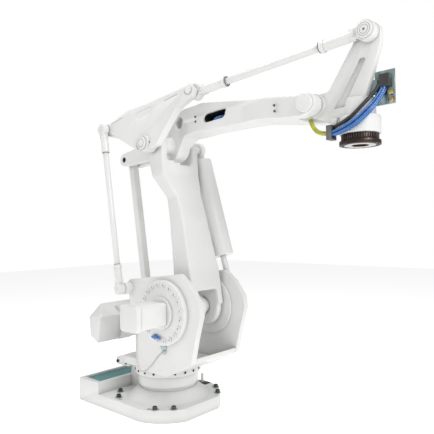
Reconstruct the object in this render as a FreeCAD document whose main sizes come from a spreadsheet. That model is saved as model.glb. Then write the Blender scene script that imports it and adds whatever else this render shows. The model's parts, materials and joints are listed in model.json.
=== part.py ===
"""Four-axis palletizing robot arm: a parametric FreeCAD document, in millimetres.

Frame: +X is the way the arm reaches, +Y is the robot's left side, +Z is up.
The origin lies on the floor, on the vertical axis that the turret turns about.
The near side is -Y (the right-hand side of the robot) and the far side is +Y.
"""
import FreeCAD
import Part
import Sketcher
import math
import os

Vector = FreeCAD.Vector

# --- driving dimensions ------------------------------------------------------------------
# Each pair is a cell alias and its value, in millimetres or degrees.
SIZES = [
    # arm geometry
    ("shoulder_reach", 300), ("shoulder_height", 814.5),
    ("lower_length", 1280), ("upper_length", 1350),
    ("lower_lean", -8.65), ("upper_dip", -3.89),
    ("rear_lever", 510), ("rear_lever_drop", 23), ("rear_lever_y", 19),
    ("link_rear", 408), ("link_rear_rise", 151),
    ("link_front", 363), ("link_front_rise", 362),
    ("wrist_reach", 254), ("wrist_drop", 264),
    # clearances
    ("pin_gap", 0.3), ("side_gap", 6), ("open_pivot_gap", 2),
    # foot
    ("foot_rear", 668), ("foot_front", 381), ("foot_half_width", 403), ("foot_nose_radius", 420),
    ("foot_thickness", 95), ("foot_hole_circle", 400), ("foot_hole_diameter", 27),
    ("foot_angle_small", 37.4), ("foot_angle_large", 57.4),
    ("jack_hole_circle", 396), ("jack_hole_diameter", 30), ("jack_angle", 64.5),
    ("box_length", 268), ("box_height", 186), ("slot_margin", 22), ("slot_length", 214),
    ("slot_half_width", 360), ("slot_depth", 22), ("lid_thickness", 8),
    ("riser_half_width", 62), ("riser_height", 290), ("riser_length", 125), ("riser_rear", 400),
    ("riser_slant", 45),
    ("cone_radius", 330), ("cone_top_radius", 236), ("cone_height", 77),
    ("neck_radius", 226), ("neck_top", 196),
    ("ring_low_radius", 242), ("ring_step", 283), ("ring_radius", 266), ("ring_top", 337),
    ("post_x", 45), ("post_y", 352), ("post_radius", 11), ("post_height", 75),
    ("post_plate_side", 110), ("post_plate_depth", 70), ("post_plate_thickness", 6),
    # turret
    ("floor_bottom", 342), ("floor_thickness", 62), ("floor_front", 260), ("floor_front_rise", 130),
    ("floor_rear", 550), ("near_cheek_face", 300), ("near_cheek_thickness", 50),
    ("far_cheek_face", 238), ("far_cheek_thickness", 46), ("far_cheek_rear", 260),
    ("cheek_front", 352), ("cheek_top", 285), ("cheek_top_front", 150), ("cheek_shoulder", 262),
    ("cheek_shoulder_rise", 197), ("cheek_brow", 340), ("cheek_brow_rise", 90),
    ("cheek_chin", 300), ("cheek_chin_drop", 175), ("cheek_rear", 443), ("cheek_rear_top", 215),
    ("cheek_rear_bend_drop", 20),
    ("cheek_back", 330), ("cheek_back_drop", 165), ("cheek_round", 45),
    ("lug_length", 165), ("lug_half_width", 210), ("lug_drop", 46), ("lug_depth", 102),
    ("lug_shelf", 30), ("lug_foot", 106),
    ("gearbox_radius", 238), ("gearbox_height", 40), ("gear_drum_radius", 175),
    ("motor_flange_radius", 120), ("motor_flange_height", 22),
    ("motor_side", 172), ("motor_length", 235), ("motor_cap_side", 186), ("motor_cap_length", 46),
    ("motor_corner", 26), ("far_disc_radius", 226), ("far_motor_radius", 84),
    ("far_motor_length", 262), ("far_motor_cap_radius", 90), ("far_motor_cap_length", 48),
    # lower arm
    ("arm_half_width", 138), ("arm_foot_half_width", 165), ("arm_foot_radius", 150),
    ("arm_head_near", 226), ("arm_head_far", 172), ("arm_head_radius", 92),
    ("arm_back", 14), ("arm_back_high", 60), ("arm_front_low", 172), ("arm_front_mid", 132),
    ("arm_front_high", 72), ("arm_low_height", 230), ("arm_mid_height", 690),
    ("arm_high_height", 1040), ("arm_neck_height", 860), ("arm_fork_inner", 108),
    ("arm_fork_front", 118), ("arm_fork_back", 270), ("arm_head_inner_near", 166),
    ("arm_head_inner_far", 110), ("arm_head_depth", 132),
    ("elbow_pin_radius", 38), ("elbow_cap_radius", 46), ("elbow_cap_height", 14),
    ("arm_axle_radius", 60), ("arm_round", 40),
    # gas spring on the far side
    ("spring_y", 278), ("spring_barrel_radius", 86), ("spring_barrel_start", 96),
    ("spring_barrel_length", 820), ("spring_bore_depth", 420), ("spring_rod_radius", 24),
    ("spring_rod_inside", 250), ("spring_rod_gap", 0.5), ("spring_eye_radius", 46),
    ("spring_eye_half_thickness", 18), ("spring_foot_x", 165), ("spring_foot_z", 60),
    ("spring_head_radius", 66), ("spring_seat_radius", 58), ("spring_seat_height", 12),
    # parallel arm and its weight
    ("crank_half_width", 62), ("crank_hub_radius", 96), ("crank_depth", 92),
    ("crank_slot_half_width", 37), ("crank_slot_front", 270), ("crank_slot_rear", 215),
    ("crank_pin_radius", 22),
    ("weight_front", 811), ("weight_front_drop", 28), ("weight_rear", 985),
    ("weight_rear_rise", 78),
    ("weight_rear_drop", 190), ("weight_sole", 882), ("weight_sole_drop", 252),
    ("weight_half_width", 300), ("weight_crown_half_width", 170),
    ("parallel_side", 60), ("parallel_eye_radius", 44), ("parallel_eye_half_width", 30),
    # thin rod
    ("rod_y", 398), ("rod_radius", 22), ("rod_sleeve_radius", 29),
    ("rod_eye_radius", 42), ("rod_eye_half_width", 24), ("rod_pin_radius", 16),
    ("rod_boss_radius", 44),
    # link plate: the face leans inwards towards the top and the front
    ("link_face", 332), ("link_lean_front", 0.159), ("link_lean_top", 0.205),
    ("link_thickness", 62), ("link_hub_radius", 62), ("link_hub_back", 236),
    ("link_tip_radius", 46), ("link_nose_radius", 50), ("link_nose_back", 150),
    ("link_crown", 310),
    ("link_pin_head_radius", 30), ("link_pin_head_height", 8), ("link_pin_radius", 18),
    # upper rod
    ("tie_y", 114), ("tie_radius", 24), ("tie_sleeve_radius", 33),
    ("tie_eye_radius", 58), ("tie_eye_half_width", 30), ("tie_cap_radius", 48),
    # upper arm
    ("beam_half_width", 108), ("beam_flare_start", 800), ("beam_head_length", 60),
    ("beam_head_half_width", 199), ("beam_hub_radius", 122),
    ("beam_nose_radius", 66), ("beam_crown", 262), ("beam_crown_front", 400),
    ("beam_crown_rear", 200), ("beam_top_front", 64),
    ("beam_sole", 40), ("beam_sole_rear", 461), ("beam_sole_mid", 10), ("beam_sole_mid_x", 900),
    ("beam_fork_inner", 104), ("beam_fork_depth", 118),
    ("beam_slot_x", 530), ("beam_slot_z", 128), ("beam_slot_length", 220),
    ("beam_slot_height", 66), ("beam_ear_gap", 35), ("beam_ear_outer", 99),
    ("beam_ear_radius", 56), ("beam_ear_slot", 260), ("beam_pin_radius", 20),
    ("tilt_cap_radius", 56), ("tilt_cap_height", 24), ("tilt_pin_radius", 26),
    # tilt house
    ("fin_hub_radius", 72), ("fin_hub_half_width", 98),
    ("fin_tip_radius", 60), ("fin_back_x", 184), ("fin_back_z", 210), ("fin_front_x", 334),
    ("fin_front_z", 19), ("fin_chin_x", 261), ("fin_chin_z", 84), ("fin_sole_x", 100),
    ("fin_sole_z", 125), ("fin_pocket_depth", 20), ("fin_pin_radius", 18),
    ("drum_radius", 122), ("drum_height", 105), ("dial_radius", 106), ("dial_height", 35),
    ("disc_radius", 122), ("disc_height", 24), ("tool_circle", 160), ("tool_hole_diameter", 14),
    ("tool_hole_count", 6), ("tool_bore_diameter", 100), ("tool_bore_depth", 10),
    # more outline points
    ("arm_relief_height", 840), ("arm_relief_near", 124), ("arm_relief_far", 92),
    ("arm_relief_reach", 64), ("arm_relief_foot", 14), ("arm_relief_drop", 264),
    ("arm_brow_drop", 170), ("arm_brow_start", 20), ("arm_brow_foot", 86),
    ("rod_groove_start", 230),
    ("rod_groove_end", 430), ("rod_groove_low", 34), ("rod_groove_high", 96), ("link_tip_pad", 104),
    ("link_hub_face", 340), ("crank_taper", 22), ("crank_axle_half_length", 165),
    ("rod_sleeve_start", 48), ("rod_sleeve_end", 190),
    ("tie_sleeve_start", 66), ("tie_sleeve_end", 300), ("tie_cap_height", 14),
    ("link_shoulder", 214), ("link_shoulder_rise", 285), ("link_saddle", 49),
    ("link_nose_start", 254), ("link_nose_crown", 378), ("link_waist_front", 275),
    ("link_waist_rise", 243), ("link_throat", 230), ("link_throat_rise", 171),
    ("link_belly", 255), ("link_belly_rise", 62), ("link_limit", 480),
    ("link_slab_radius", 900), ("link_tip_back", 330), ("link_pin_start", 203),
    ("beam_hub_near", 160), ("beam_hub_far", 62), ("beam_boss_radius", 66), ("beam_brow", 225),
    ("beam_top_mid_x", 890), ("beam_top_mid", 161), ("beam_sole_length", 50),
    ("beam_sole_front", 72), ("beam_waist_x", 125), ("beam_wide_x", 260),
    ("beam_shelf_low", 130), ("beam_shelf_high", 166), ("beam_shelf_half_width", 74),
    ("beam_slot_floor", 40), ("beam_eye_radius", 44), ("beam_eye_x", 135), ("beam_eye_z", 165),
    ("fin_waist_x", 92), ("fin_waist_z", 72), ("fin_face", 78), ("fin_back_face", 32),
    ("carrier_radius", 96), ("carrier_top", 10), ("drum_top", 95), ("rib_top", 30),
    ("pocket_low_x", 150), ("pocket_low_z", 38), ("pocket_high_x", 320), ("pocket_high_z", 230),
    ("pocket_half_width", 22),
    ("bracket_rear", 356), ("bracket_front", 476), ("bracket_thickness", 8), ("bracket_drop", 49),
    ("bracket_rise", 150), ("spacer_rear", 300), ("spacer_overlap", 24), ("spacer_low", 16),
    ("spacer_high", 100),
    ("plug_x", 400), ("plug_length", 60), ("plug_depth", 46), ("plug_z", 48), ("plug_height", 72),
    ("fitting_x", 459), ("fitting_z", 12), ("fitting_low_z", 30), ("fitting_radius", 15),
    ("fitting_length", 34),
    ("hose_radius", 8), ("hose_pitch", 17), ("hose_bend", 70), ("hose_inset", 10),
    ("hose_lead", 26), ("hose_depth_pitch", 21), ("hose_end", 4),
    ("hose_start_y", 20), ("hose_y", 138), ("hose_high_x", 346), ("hose_high_z", 112),
    ("hose_low_x", 222), ("hose_low_z", 178),
    ("strap_x", 112), ("strap_length", 36), ("strap_near", 152), ("strap_far", 92),
    ("strap_low", 232), ("strap_high", 146), ("strap_lug_low", 176), ("strap_lug_top", 96),
    ("strap_hose_y", 114), ("strap_hose_z", 192), ("strap_cable_z", 164),
    ("cable_radius", 11), ("cable_y", 138), ("cable_start_y", 40), ("cable_high_x", 392),
    ("cable_mid_x", 352), ("cable_mid_z", 48), ("cable_low_x", 238), ("cable_low_z", 138),
    ("sleeve_radius", 14), ("sleeve_y", 60), ("sleeve_start_x", 45), ("sleeve_start_z", 78),
    ("sleeve_mid_x", 14), ("sleeve_mid_y", 84), ("sleeve_mid_z", 140),
    ("sleeve_end_x", 66), ("sleeve_end_y", 118), ("sleeve_end_z", 188),
    ("spigot_radius", 60), ("spigot_height", 36), ("drum_bore_depth", 44),
    ("slew_spigot_radius", 180),
    ("loop_radius", 8), ("loop_rear", 40), ("loop_far_y", 600), ("loop_mid", 275),
    ("loop_drift", 5),
    ("loop_low_x", 14), ("loop_mid_y", 550), ("loop_low", 392), ("loop_turn_y", 440),
    ("loop_turn", 372), ("loop_front", 9),
    ("loop_near_y", 350), ("loop_plug", 291), ("loop_bend", 70),
]

document = FreeCAD.newDocument("PalletizingRobot")
sheet = document.addObject("Spreadsheet::Sheet", "Sizes")
finished = []
spots = {}


class Size:
    """A number together with the sheet formula that gives it."""

    def __init__(self, value, formula):
        self.value = value
        self.formula = formula

    def __add__(self, other):
        other = as_size(other)
        return Size(self.value + other.value, f"({self.formula} + {other.formula})")

    __radd__ = __add__

    def __sub__(self, other):
        other = as_size(other)
        return Size(self.value - other.value, f"({self.formula} - {other.formula})")

    def __rsub__(self, other):
        return as_size(other) - self

    def __neg__(self):
        return Size(-self.value, f"(0 - {self.formula})")

    def __mul__(self, other):
        other = as_size(other)
        return Size(self.value * other.value, f"({self.formula} * {other.formula})")

    __rmul__ = __mul__

    def __truediv__(self, other):
        other = as_size(other)
        return Size(self.value / other.value, f"({self.formula} / {other.formula})")


def as_size(number):
    """Give a plain number the form of a Size."""
    if isinstance(number, Size):
        return number
    return Size(float(number), f"({number:.9g})")


class Sizes:
    """The sheet's aliases as attributes."""

    def __init__(self, pairs):
        for row, (alias, value) in enumerate(pairs, start=1):
            sheet.set(f"A{row}", alias.replace("_", " "))
            sheet.set(f"B{row}", f"{value:.9g}")
            sheet.setAlias(f"B{row}", alias)
            setattr(self, alias, Size(float(value), f"Sizes.{alias}"))


S = Sizes(SIZES)
document.recompute()


# --- building helpers ----------------------------------------------------------------------
def bind(owner, name, size):
    """Set a property through the sheet."""
    owner.setExpression(name, as_size(size).formula)


def place(piece, x=0, y=0, z=0):
    """Bind a piece's position to the sheet."""
    spots[piece.Name] = (x, y, z)
    bind(piece, "Placement.Base.x", x)
    bind(piece, "Placement.Base.y", y)
    bind(piece, "Placement.Base.z", z)
    return piece


def origin_plane(body, role):
    """Find one of a body's own origin planes."""
    for feature in body.Origin.OriginFeatures:
        if feature.Role == role:
            return feature
    raise ValueError(role)


def sketch_on(body, role, offset):
    """Add a sketch parallel to an origin plane, moved along the plane's normal."""
    sketch = body.newObject("Sketcher::SketchObject", "Outline")
    sketch.AttachmentSupport = [(origin_plane(body, role), "")]
    sketch.MapMode = "FlatFace"
    bind(sketch, ".AttachmentOffset.Base.z", offset)
    return sketch


def draw_corners(sketch, corners):
    """Draw a closed outline of straight sides, with every corner bound to the sheet."""
    count = len(corners)
    points = [Vector(as_size(u).value, as_size(v).value, 0) for u, v in corners]
    for index in range(count):
        sketch.addGeometry(Part.LineSegment(points[index], points[(index + 1) % count]), False)
    for index in range(count):
        sketch.addConstraint(Sketcher.Constraint("Coincident", index, 2, (index + 1) % count, 1))
    for index, (u, v) in enumerate(corners):
        for kind, size in (("DistanceX", as_size(u)), ("DistanceY", as_size(v))):
            row = sketch.addConstraint(Sketcher.Constraint(kind, -1, 1, index, 1, size.value))
            sketch.setExpression(f"Constraints[{row}]", size.formula)


ROLES = {"side": "XZ_Plane", "plan": "XY_Plane", "front": "YZ_Plane"}


def prism(name, view, corners, low, high, rounds=()):
    """A body with one pad: an outline seen from the side, from above or from the front.

    low and high are where it starts and ends along Y, Z or X. rounds lists pairs of a
    radius and the numbers of the corners that get it.
    """
    body = document.addObject("PartDesign::Body", name)
    start = -as_size(high) if view == "side" else as_size(low)
    sketch = sketch_on(body, ROLES[view], start)
    draw_corners(sketch, corners)
    pad = body.newObject("PartDesign::Pad", "Pad")
    pad.Profile = sketch
    bind(pad, "Length", as_size(high) - as_size(low))
    sketch.Visibility = False
    tip = pad
    for radius, numbers in rounds:
        document.recompute()
        picked = corner_edges(tip.Shape, view, [corners[number] for number in numbers])
        fillet = body.newObject("PartDesign::Fillet", "Round")
        fillet.Base = (tip, picked)
        bind(fillet, "Radius", radius)
        tip = fillet
    return body


def corner_edges(shape, view, corners):
    """Name the pad's edges that run along the view direction through the corners."""
    names = []
    for index, edge in enumerate(shape.Edges, start=1):
        if len(edge.Vertexes) != 2 or edge.Curve.TypeId != "Part::GeomLine":
            continue
        first, last = (vertex.Point for vertex in edge.Vertexes)
        if math.dist(flat(first, view), flat(last, view)) > 1e-4:
            continue
        for u, v in corners:
            if math.dist(flat(first, view), (as_size(u).value, as_size(v).value)) < 1e-3:
                names.append(f"Edge{index}")
    return names


def flat(point, view):
    """The two coordinates that a view shows."""
    if view == "side":
        return (point.x, point.z)
    if view == "plan":
        return (point.x, point.y)
    return (point.y, point.z)


def block(name, low, high):
    """A box between two corners."""
    piece = document.addObject("Part::Box", name)
    for prop, first, last in zip(("Length", "Width", "Height"), low, high):
        bind(piece, prop, as_size(last) - as_size(first))
    return place(piece, *low)


AXES = {
    "x": FreeCAD.Rotation(Vector(0, 1, 0), 90),
    "y": FreeCAD.Rotation(Vector(1, 0, 0), -90),
    "z": FreeCAD.Rotation(),
}


def drum(name, axis, radius, length, at):
    """A cylinder that starts at a point and runs along +X, +Y or +Z."""
    piece = document.addObject("Part::Cylinder", name)
    piece.Placement = FreeCAD.Placement(Vector(), AXES[axis])
    bind(piece, "Radius", radius)
    bind(piece, "Height", length)
    return place(piece, *at)


def cone(name, low_radius, high_radius, height, at):
    """A truncated cone that stands on its base."""
    piece = document.addObject("Part::Cone", name)
    bind(piece, "Radius1", low_radius)
    bind(piece, "Radius2", high_radius)
    bind(piece, "Height", height)
    return place(piece, *at)


def fuse(name, *pieces, refine=True):
    """Join pieces into one, with its flush faces merged unless told otherwise."""
    joined = document.addObject("Part::MultiFuse", name)
    joined.Shapes = list(pieces)
    joined.Refine = refine
    return joined


def common(name, *pieces):
    """Keep what all the pieces share."""
    shared = document.addObject("Part::MultiCommon", name)
    shared.Shapes = list(pieces)
    return shared


def cut(name, base, *tools):
    """Take the tools away from the base."""
    tool = tools[0] if len(tools) == 1 else fuse(name + "_tools", *tools)
    result = document.addObject("Part::Cut", name)
    result.Base = base
    result.Tool = tool
    return result


def finish(label, piece, pivot=None, turn=0.0):
    """Name a sub-part, and set it at its pivot, turned about +Y."""
    piece.Label = label
    if pivot is not None:
        x, y, z = spots.get(piece.Name, (0, 0, 0))
        run, rise = turned(as_size(x), as_size(z), turn)
        rotation = FreeCAD.Rotation(Vector(0, 1, 0), turn) * piece.Placement.Rotation
        piece.Placement = FreeCAD.Placement(Vector(), rotation)
        place(piece, pivot[0] + run, pivot[1] + y, pivot[2] + rise)
    finished.append(piece)
    return piece


def turned(x, z, degrees):
    """Turn a point of the XZ plane about the origin, the way a hinge about +Y does."""
    angle = math.radians(degrees)
    cosine, sine = math.cos(angle), math.sin(angle)
    return (x * cosine + z * sine, z * cosine - x * sine)


def polar(radius, degrees):
    """A point on a circle in plan."""
    angle = math.radians(degrees)
    return (radius * math.cos(angle), radius * math.sin(angle))


# --- pivots at rest ----------------------------------------------------------------------
LEAN = S.lower_lean.value
DIP = S.upper_dip.value
SHOULDER = (S.shoulder_reach, 0, S.shoulder_height)
elbow_run, elbow_rise = turned(0, 1, LEAN)
ELBOW = (S.shoulder_reach + S.lower_length * elbow_run, 0,
         S.shoulder_height + S.lower_length * elbow_rise)
tilt_run, tilt_rise = turned(1, 0, DIP)
TILT = (ELBOW[0] + S.upper_length * tilt_run, 0, ELBOW[2] + S.upper_length * tilt_rise)
LOW_ROD = (S.shoulder_reach - S.link_rear, 0, S.shoulder_height + S.link_rear_rise)
HIGH_TIE = (ELBOW[0] + S.link_front, 0, ELBOW[2] + S.link_front_rise)
crank_run, crank_rise = turned(-S.rear_lever, -S.rear_lever_drop, DIP)
CRANK = (S.shoulder_reach + crank_run, -S.rear_lever_y, S.shoulder_height + crank_rise)
CRANK_TURN = math.degrees(math.atan2(crank_rise.value, -crank_run.value))
CRANK_LENGTH = math.hypot(crank_run.value, crank_rise.value)
SPRING_FOOT = (S.shoulder_reach + S.spring_foot_x, S.spring_y, S.shoulder_height + S.spring_foot_z)
SPRING_RUN = ELBOW[0] - SPRING_FOOT[0]
SPRING_RISE = ELBOW[2] - SPRING_FOOT[2]
SPRING_LENGTH = math.hypot(SPRING_RUN.value, SPRING_RISE.value)
SPRING_TURN = math.degrees(math.atan2(SPRING_RUN.value, SPRING_RISE.value))


# --- foot --------------------------------------------------------------------------------
def foot_holes(name, circle, diameter, angles):
    """Upright holes through the foot plate, on a circle about the turret axis."""
    holes = []
    for index, angle in enumerate(angles):
        x, y = polar(1.0, angle)
        holes.append(drum(f"{name}_{index}", "z", diameter / 2, S.box_height, (circle * x, circle * y, 0)))
    return holes


def foot_angles(angle):
    """The same angle in all four quarters."""
    return [angle, 180 - angle, 180 + angle, -angle]


def make_foot():
    """The floor plate with its rear box, riser and the cone under the slewing ring."""
    plate = common(
        "FootPlate",
        block("PlateLimits", (-S.foot_rear, -S.foot_half_width, 0),
              (S.foot_front, S.foot_half_width, S.foot_thickness)),
        fuse("PlateOutline",
             block("PlateRear", (-S.foot_rear, -S.foot_half_width, 0),
                   (0, S.foot_half_width, S.foot_thickness)),
             drum("PlateNose", "z", S.foot_nose_radius, S.foot_thickness, (0, 0, 0))))
    rear_box = block("RearBox", (-S.foot_rear, -S.foot_half_width, 0),
                     (S.box_length - S.foot_rear, S.foot_half_width, S.box_height))
    riser = prism("Riser", "side", [
        (-S.riser_rear, 0),
        (S.riser_length - S.riser_rear, 0),
        (S.riser_length - S.riser_rear, S.riser_height),
        (S.riser_slant - S.riser_rear, S.riser_height),
        (-S.riser_rear, S.riser_height - S.riser_slant),
    ], -S.riser_half_width, S.riser_half_width)
    hub = cone("FootCone", S.cone_radius, S.cone_top_radius, S.cone_height, (0, 0, S.foot_thickness))
    neck = drum("FootNeck", "z", S.neck_radius, S.neck_top - S.foot_thickness, (0, 0, S.foot_thickness))
    slot_start = S.slot_margin - S.foot_rear
    slot = block("LidSlot", (slot_start, -S.slot_half_width, S.box_height - S.slot_depth),
                 (slot_start + S.slot_length, S.slot_half_width, S.box_height))
    bolt_angles = foot_angles(S.foot_angle_small.value) + foot_angles(S.foot_angle_large.value)
    bolts = foot_holes("FootHole", S.foot_hole_circle, S.foot_hole_diameter, bolt_angles)
    jacks = foot_holes("JackHole", S.jack_hole_circle, S.jack_hole_diameter,
                       foot_angles(S.jack_angle.value))
    solid = fuse("FootSolid", plate, rear_box, riser, hub, neck)
    finish("foot_casting", cut("FootCasting", solid, slot, *bolts, *jacks))


def make_foot_lid():
    """The coloured lid that lies in the rear box's slot."""
    start = S.slot_margin - S.foot_rear
    floor = S.box_height - S.slot_depth
    lid = block("FootLid", (start, -S.slot_half_width, floor),
                (start + S.slot_length, S.slot_half_width, floor + S.lid_thickness))
    finish("foot_lid", lid)


def make_slew_ring():
    """The two steps of the slewing ring, fixed to the foot."""
    finish("slew_ring_lower", drum("RingLower", "z", S.ring_low_radius, S.ring_step - S.neck_top,
                                   (0, 0, S.neck_top)))
    upper = drum("RingBody", "z", S.ring_radius, S.ring_top - S.ring_step, (0, 0, S.ring_step))
    bore = drum("RingBore", "z", S.slew_spigot_radius + S.pin_gap, S.ring_top - S.ring_step,
                (0, 0, S.ring_step))
    finish("slew_ring_upper", cut("RingUpper", upper, bore))


def make_sensor_post():
    """A small plate on the foot with an upright post."""
    half = S.post_plate_side / 2
    near = S.foot_half_width - S.post_plate_depth
    plate = block("PostPlate", (S.post_x - half, near, S.foot_thickness),
                  (S.post_x + half, S.foot_half_width - S.side_gap,
                   S.foot_thickness + S.post_plate_thickness))
    finish("post_plate", plate)
    top = S.foot_thickness + S.post_plate_thickness
    finish("sensor_post", drum("Post", "z", S.post_radius, S.post_height, (S.post_x, S.post_y, top)))


# --- turret ------------------------------------------------------------------------------
def make_turret_floor():
    """The sled-shaped floor between the two cheeks."""
    reach, bottom = S.shoulder_reach, S.floor_bottom
    front = reach + S.floor_front
    corners = [
        (reach - S.floor_rear, bottom),
        (reach, bottom),
        (front, bottom + S.floor_front_rise),
        (front, bottom + S.floor_front_rise + S.floor_thickness / 2),
        (reach, bottom + S.floor_thickness),
        (reach - S.floor_rear, bottom + S.floor_thickness),
    ]
    body = prism("FloorPlate", "side", corners, S.near_cheek_thickness - S.near_cheek_face,
                 S.far_cheek_face - S.far_cheek_thickness)
    spigot_low = S.ring_step + S.side_gap
    spigot = drum("FloorSpigot", "z", S.slew_spigot_radius, bottom + S.floor_thickness - spigot_low,
                  (0, 0, spigot_low))
    finish("turret_floor", fuse("TurretFloor", body, spigot))


def cheek_corners(rear, rear_top):
    """The outline of a turret cheek about the shoulder axis."""
    x, z = S.shoulder_reach, S.shoulder_height
    return [
        (x - rear, z + rear_top),
        (x + S.cheek_top_front, z + S.cheek_top),
        (x + S.cheek_shoulder, z + S.cheek_shoulder_rise),
        (x + S.cheek_brow, z + S.cheek_brow_rise),
        (x + S.cheek_front, z),
        (x + S.cheek_chin, z - S.cheek_chin_drop),
        (x + S.floor_front, S.floor_bottom + S.floor_front_rise),
        (x, S.floor_bottom),
        (x - S.cheek_back, S.floor_bottom),
        (x - S.cheek_back, z - S.cheek_back_drop),
        (x - rear + S.cheek_round, z - S.cheek_rear_bend_drop),
    ]


def make_near_cheek():
    """The near cheek with the boss that holds the thin rod's lower pin."""
    corners = cheek_corners(S.cheek_rear, S.cheek_rear_top)
    plate = prism("NearCheekPlate", "side", corners, -S.near_cheek_face,
                  S.near_cheek_thickness - S.near_cheek_face, [(S.cheek_round, (0, 1, 2, 9))])
    boss_end = S.rod_y - S.rod_eye_half_width - S.side_gap
    boss = drum("RodBoss", "y", S.rod_boss_radius, boss_end - S.near_cheek_face,
                (LOW_ROD[0], -boss_end, LOW_ROD[2]))
    pin = drum("RodLowPin", "y", S.rod_pin_radius, S.rod_y + S.rod_eye_half_width - S.near_cheek_face,
               (LOW_ROD[0], -S.rod_y - S.rod_eye_half_width, LOW_ROD[2]))
    finish("near_cheek", fuse("NearCheek", plate, boss, pin))


def make_far_cheek():
    """The far cheek, lower at the rear than the near one."""
    corners = cheek_corners(S.far_cheek_rear, S.cheek_shoulder_rise)
    plate = prism("FarCheekPlate", "side", corners, S.far_cheek_face - S.far_cheek_thickness,
                  S.far_cheek_face, [(S.cheek_round, (0, 1, 2, 9))])
    seat = drum("SpringSeat", "y", S.spring_seat_radius, S.spring_seat_height,
                (SPRING_FOOT[0], S.far_cheek_face, SPRING_FOOT[2]))
    finish("far_cheek", fuse("FarCheek", plate, seat))


def make_rear_lug():
    """The bracket behind the turret floor that takes two transport screws."""
    rear = S.shoulder_reach - S.floor_rear
    top = S.floor_bottom + S.floor_thickness
    lug = prism("LugBlock", "side", [
        (rear - S.lug_length, top - S.lug_depth),
        (rear, top - S.lug_depth),
        (rear, top),
        (rear - S.lug_shelf, top),
        (rear - S.lug_length, top - S.lug_drop),
    ], -S.lug_half_width, -S.lug_foot)
    finish("rear_lug", lug)


def make_shoulder_drive():
    """Gearbox and motor of the lower arm, on the near side."""
    x, z = S.shoulder_reach, S.shoulder_height
    face = S.near_cheek_face
    finish("near_gearbox", drum("NearGearbox", "y", S.gearbox_radius, S.gearbox_height,
                                (x, -face - S.gearbox_height, z)))
    inner = S.arm_foot_half_width + S.side_gap
    finish("near_gear_drum", drum("NearGearDrum", "y", S.gear_drum_radius,
                                  face - S.near_cheek_thickness - inner,
                                  (x, S.near_cheek_thickness - face, z)))
    flange_face = face + S.gearbox_height
    finish("near_motor_flange", drum("NearMotorFlange", "y", S.motor_flange_radius,
                                     S.motor_flange_height,
                                     (x, -flange_face - S.motor_flange_height, z)))
    start = flange_face + S.motor_flange_height
    finish("near_motor", square_bar("NearMotor", S.motor_side, -start - S.motor_length, -start))
    end = start + S.motor_length
    finish("near_motor_cap", square_bar("NearMotorCap", S.motor_cap_side,
                                        -end - S.motor_cap_length, -end))


def square_bar(name, side, low, high):
    """A bar of square section along the shoulder axis, with rounded corners."""
    x, z, half = S.shoulder_reach, S.shoulder_height, side / 2
    corners = [(x - half, z - half), (x + half, z - half), (x + half, z + half), (x - half, z + half)]
    return prism(name, "side", corners, low, high, [(S.motor_corner, (0, 1, 2, 3))])


def make_crank_drive():
    """Gearbox disc and motor of the parallel arm, on the far side."""
    x, z = S.shoulder_reach, S.shoulder_height
    inner = S.far_cheek_face - S.far_cheek_thickness
    start = S.arm_foot_half_width + S.side_gap
    finish("far_gear_disc", drum("FarGearDisc", "y", S.far_disc_radius, inner - start, (x, start, z)))
    finish("far_motor", drum("FarMotor", "y", S.far_motor_radius, S.far_motor_length,
                             (x, S.far_cheek_face, z)))
    finish("far_motor_cap", drum("FarMotorCap", "y", S.far_motor_cap_radius, S.far_motor_cap_length,
                                 (x, S.far_cheek_face + S.far_motor_length, z)))


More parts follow.
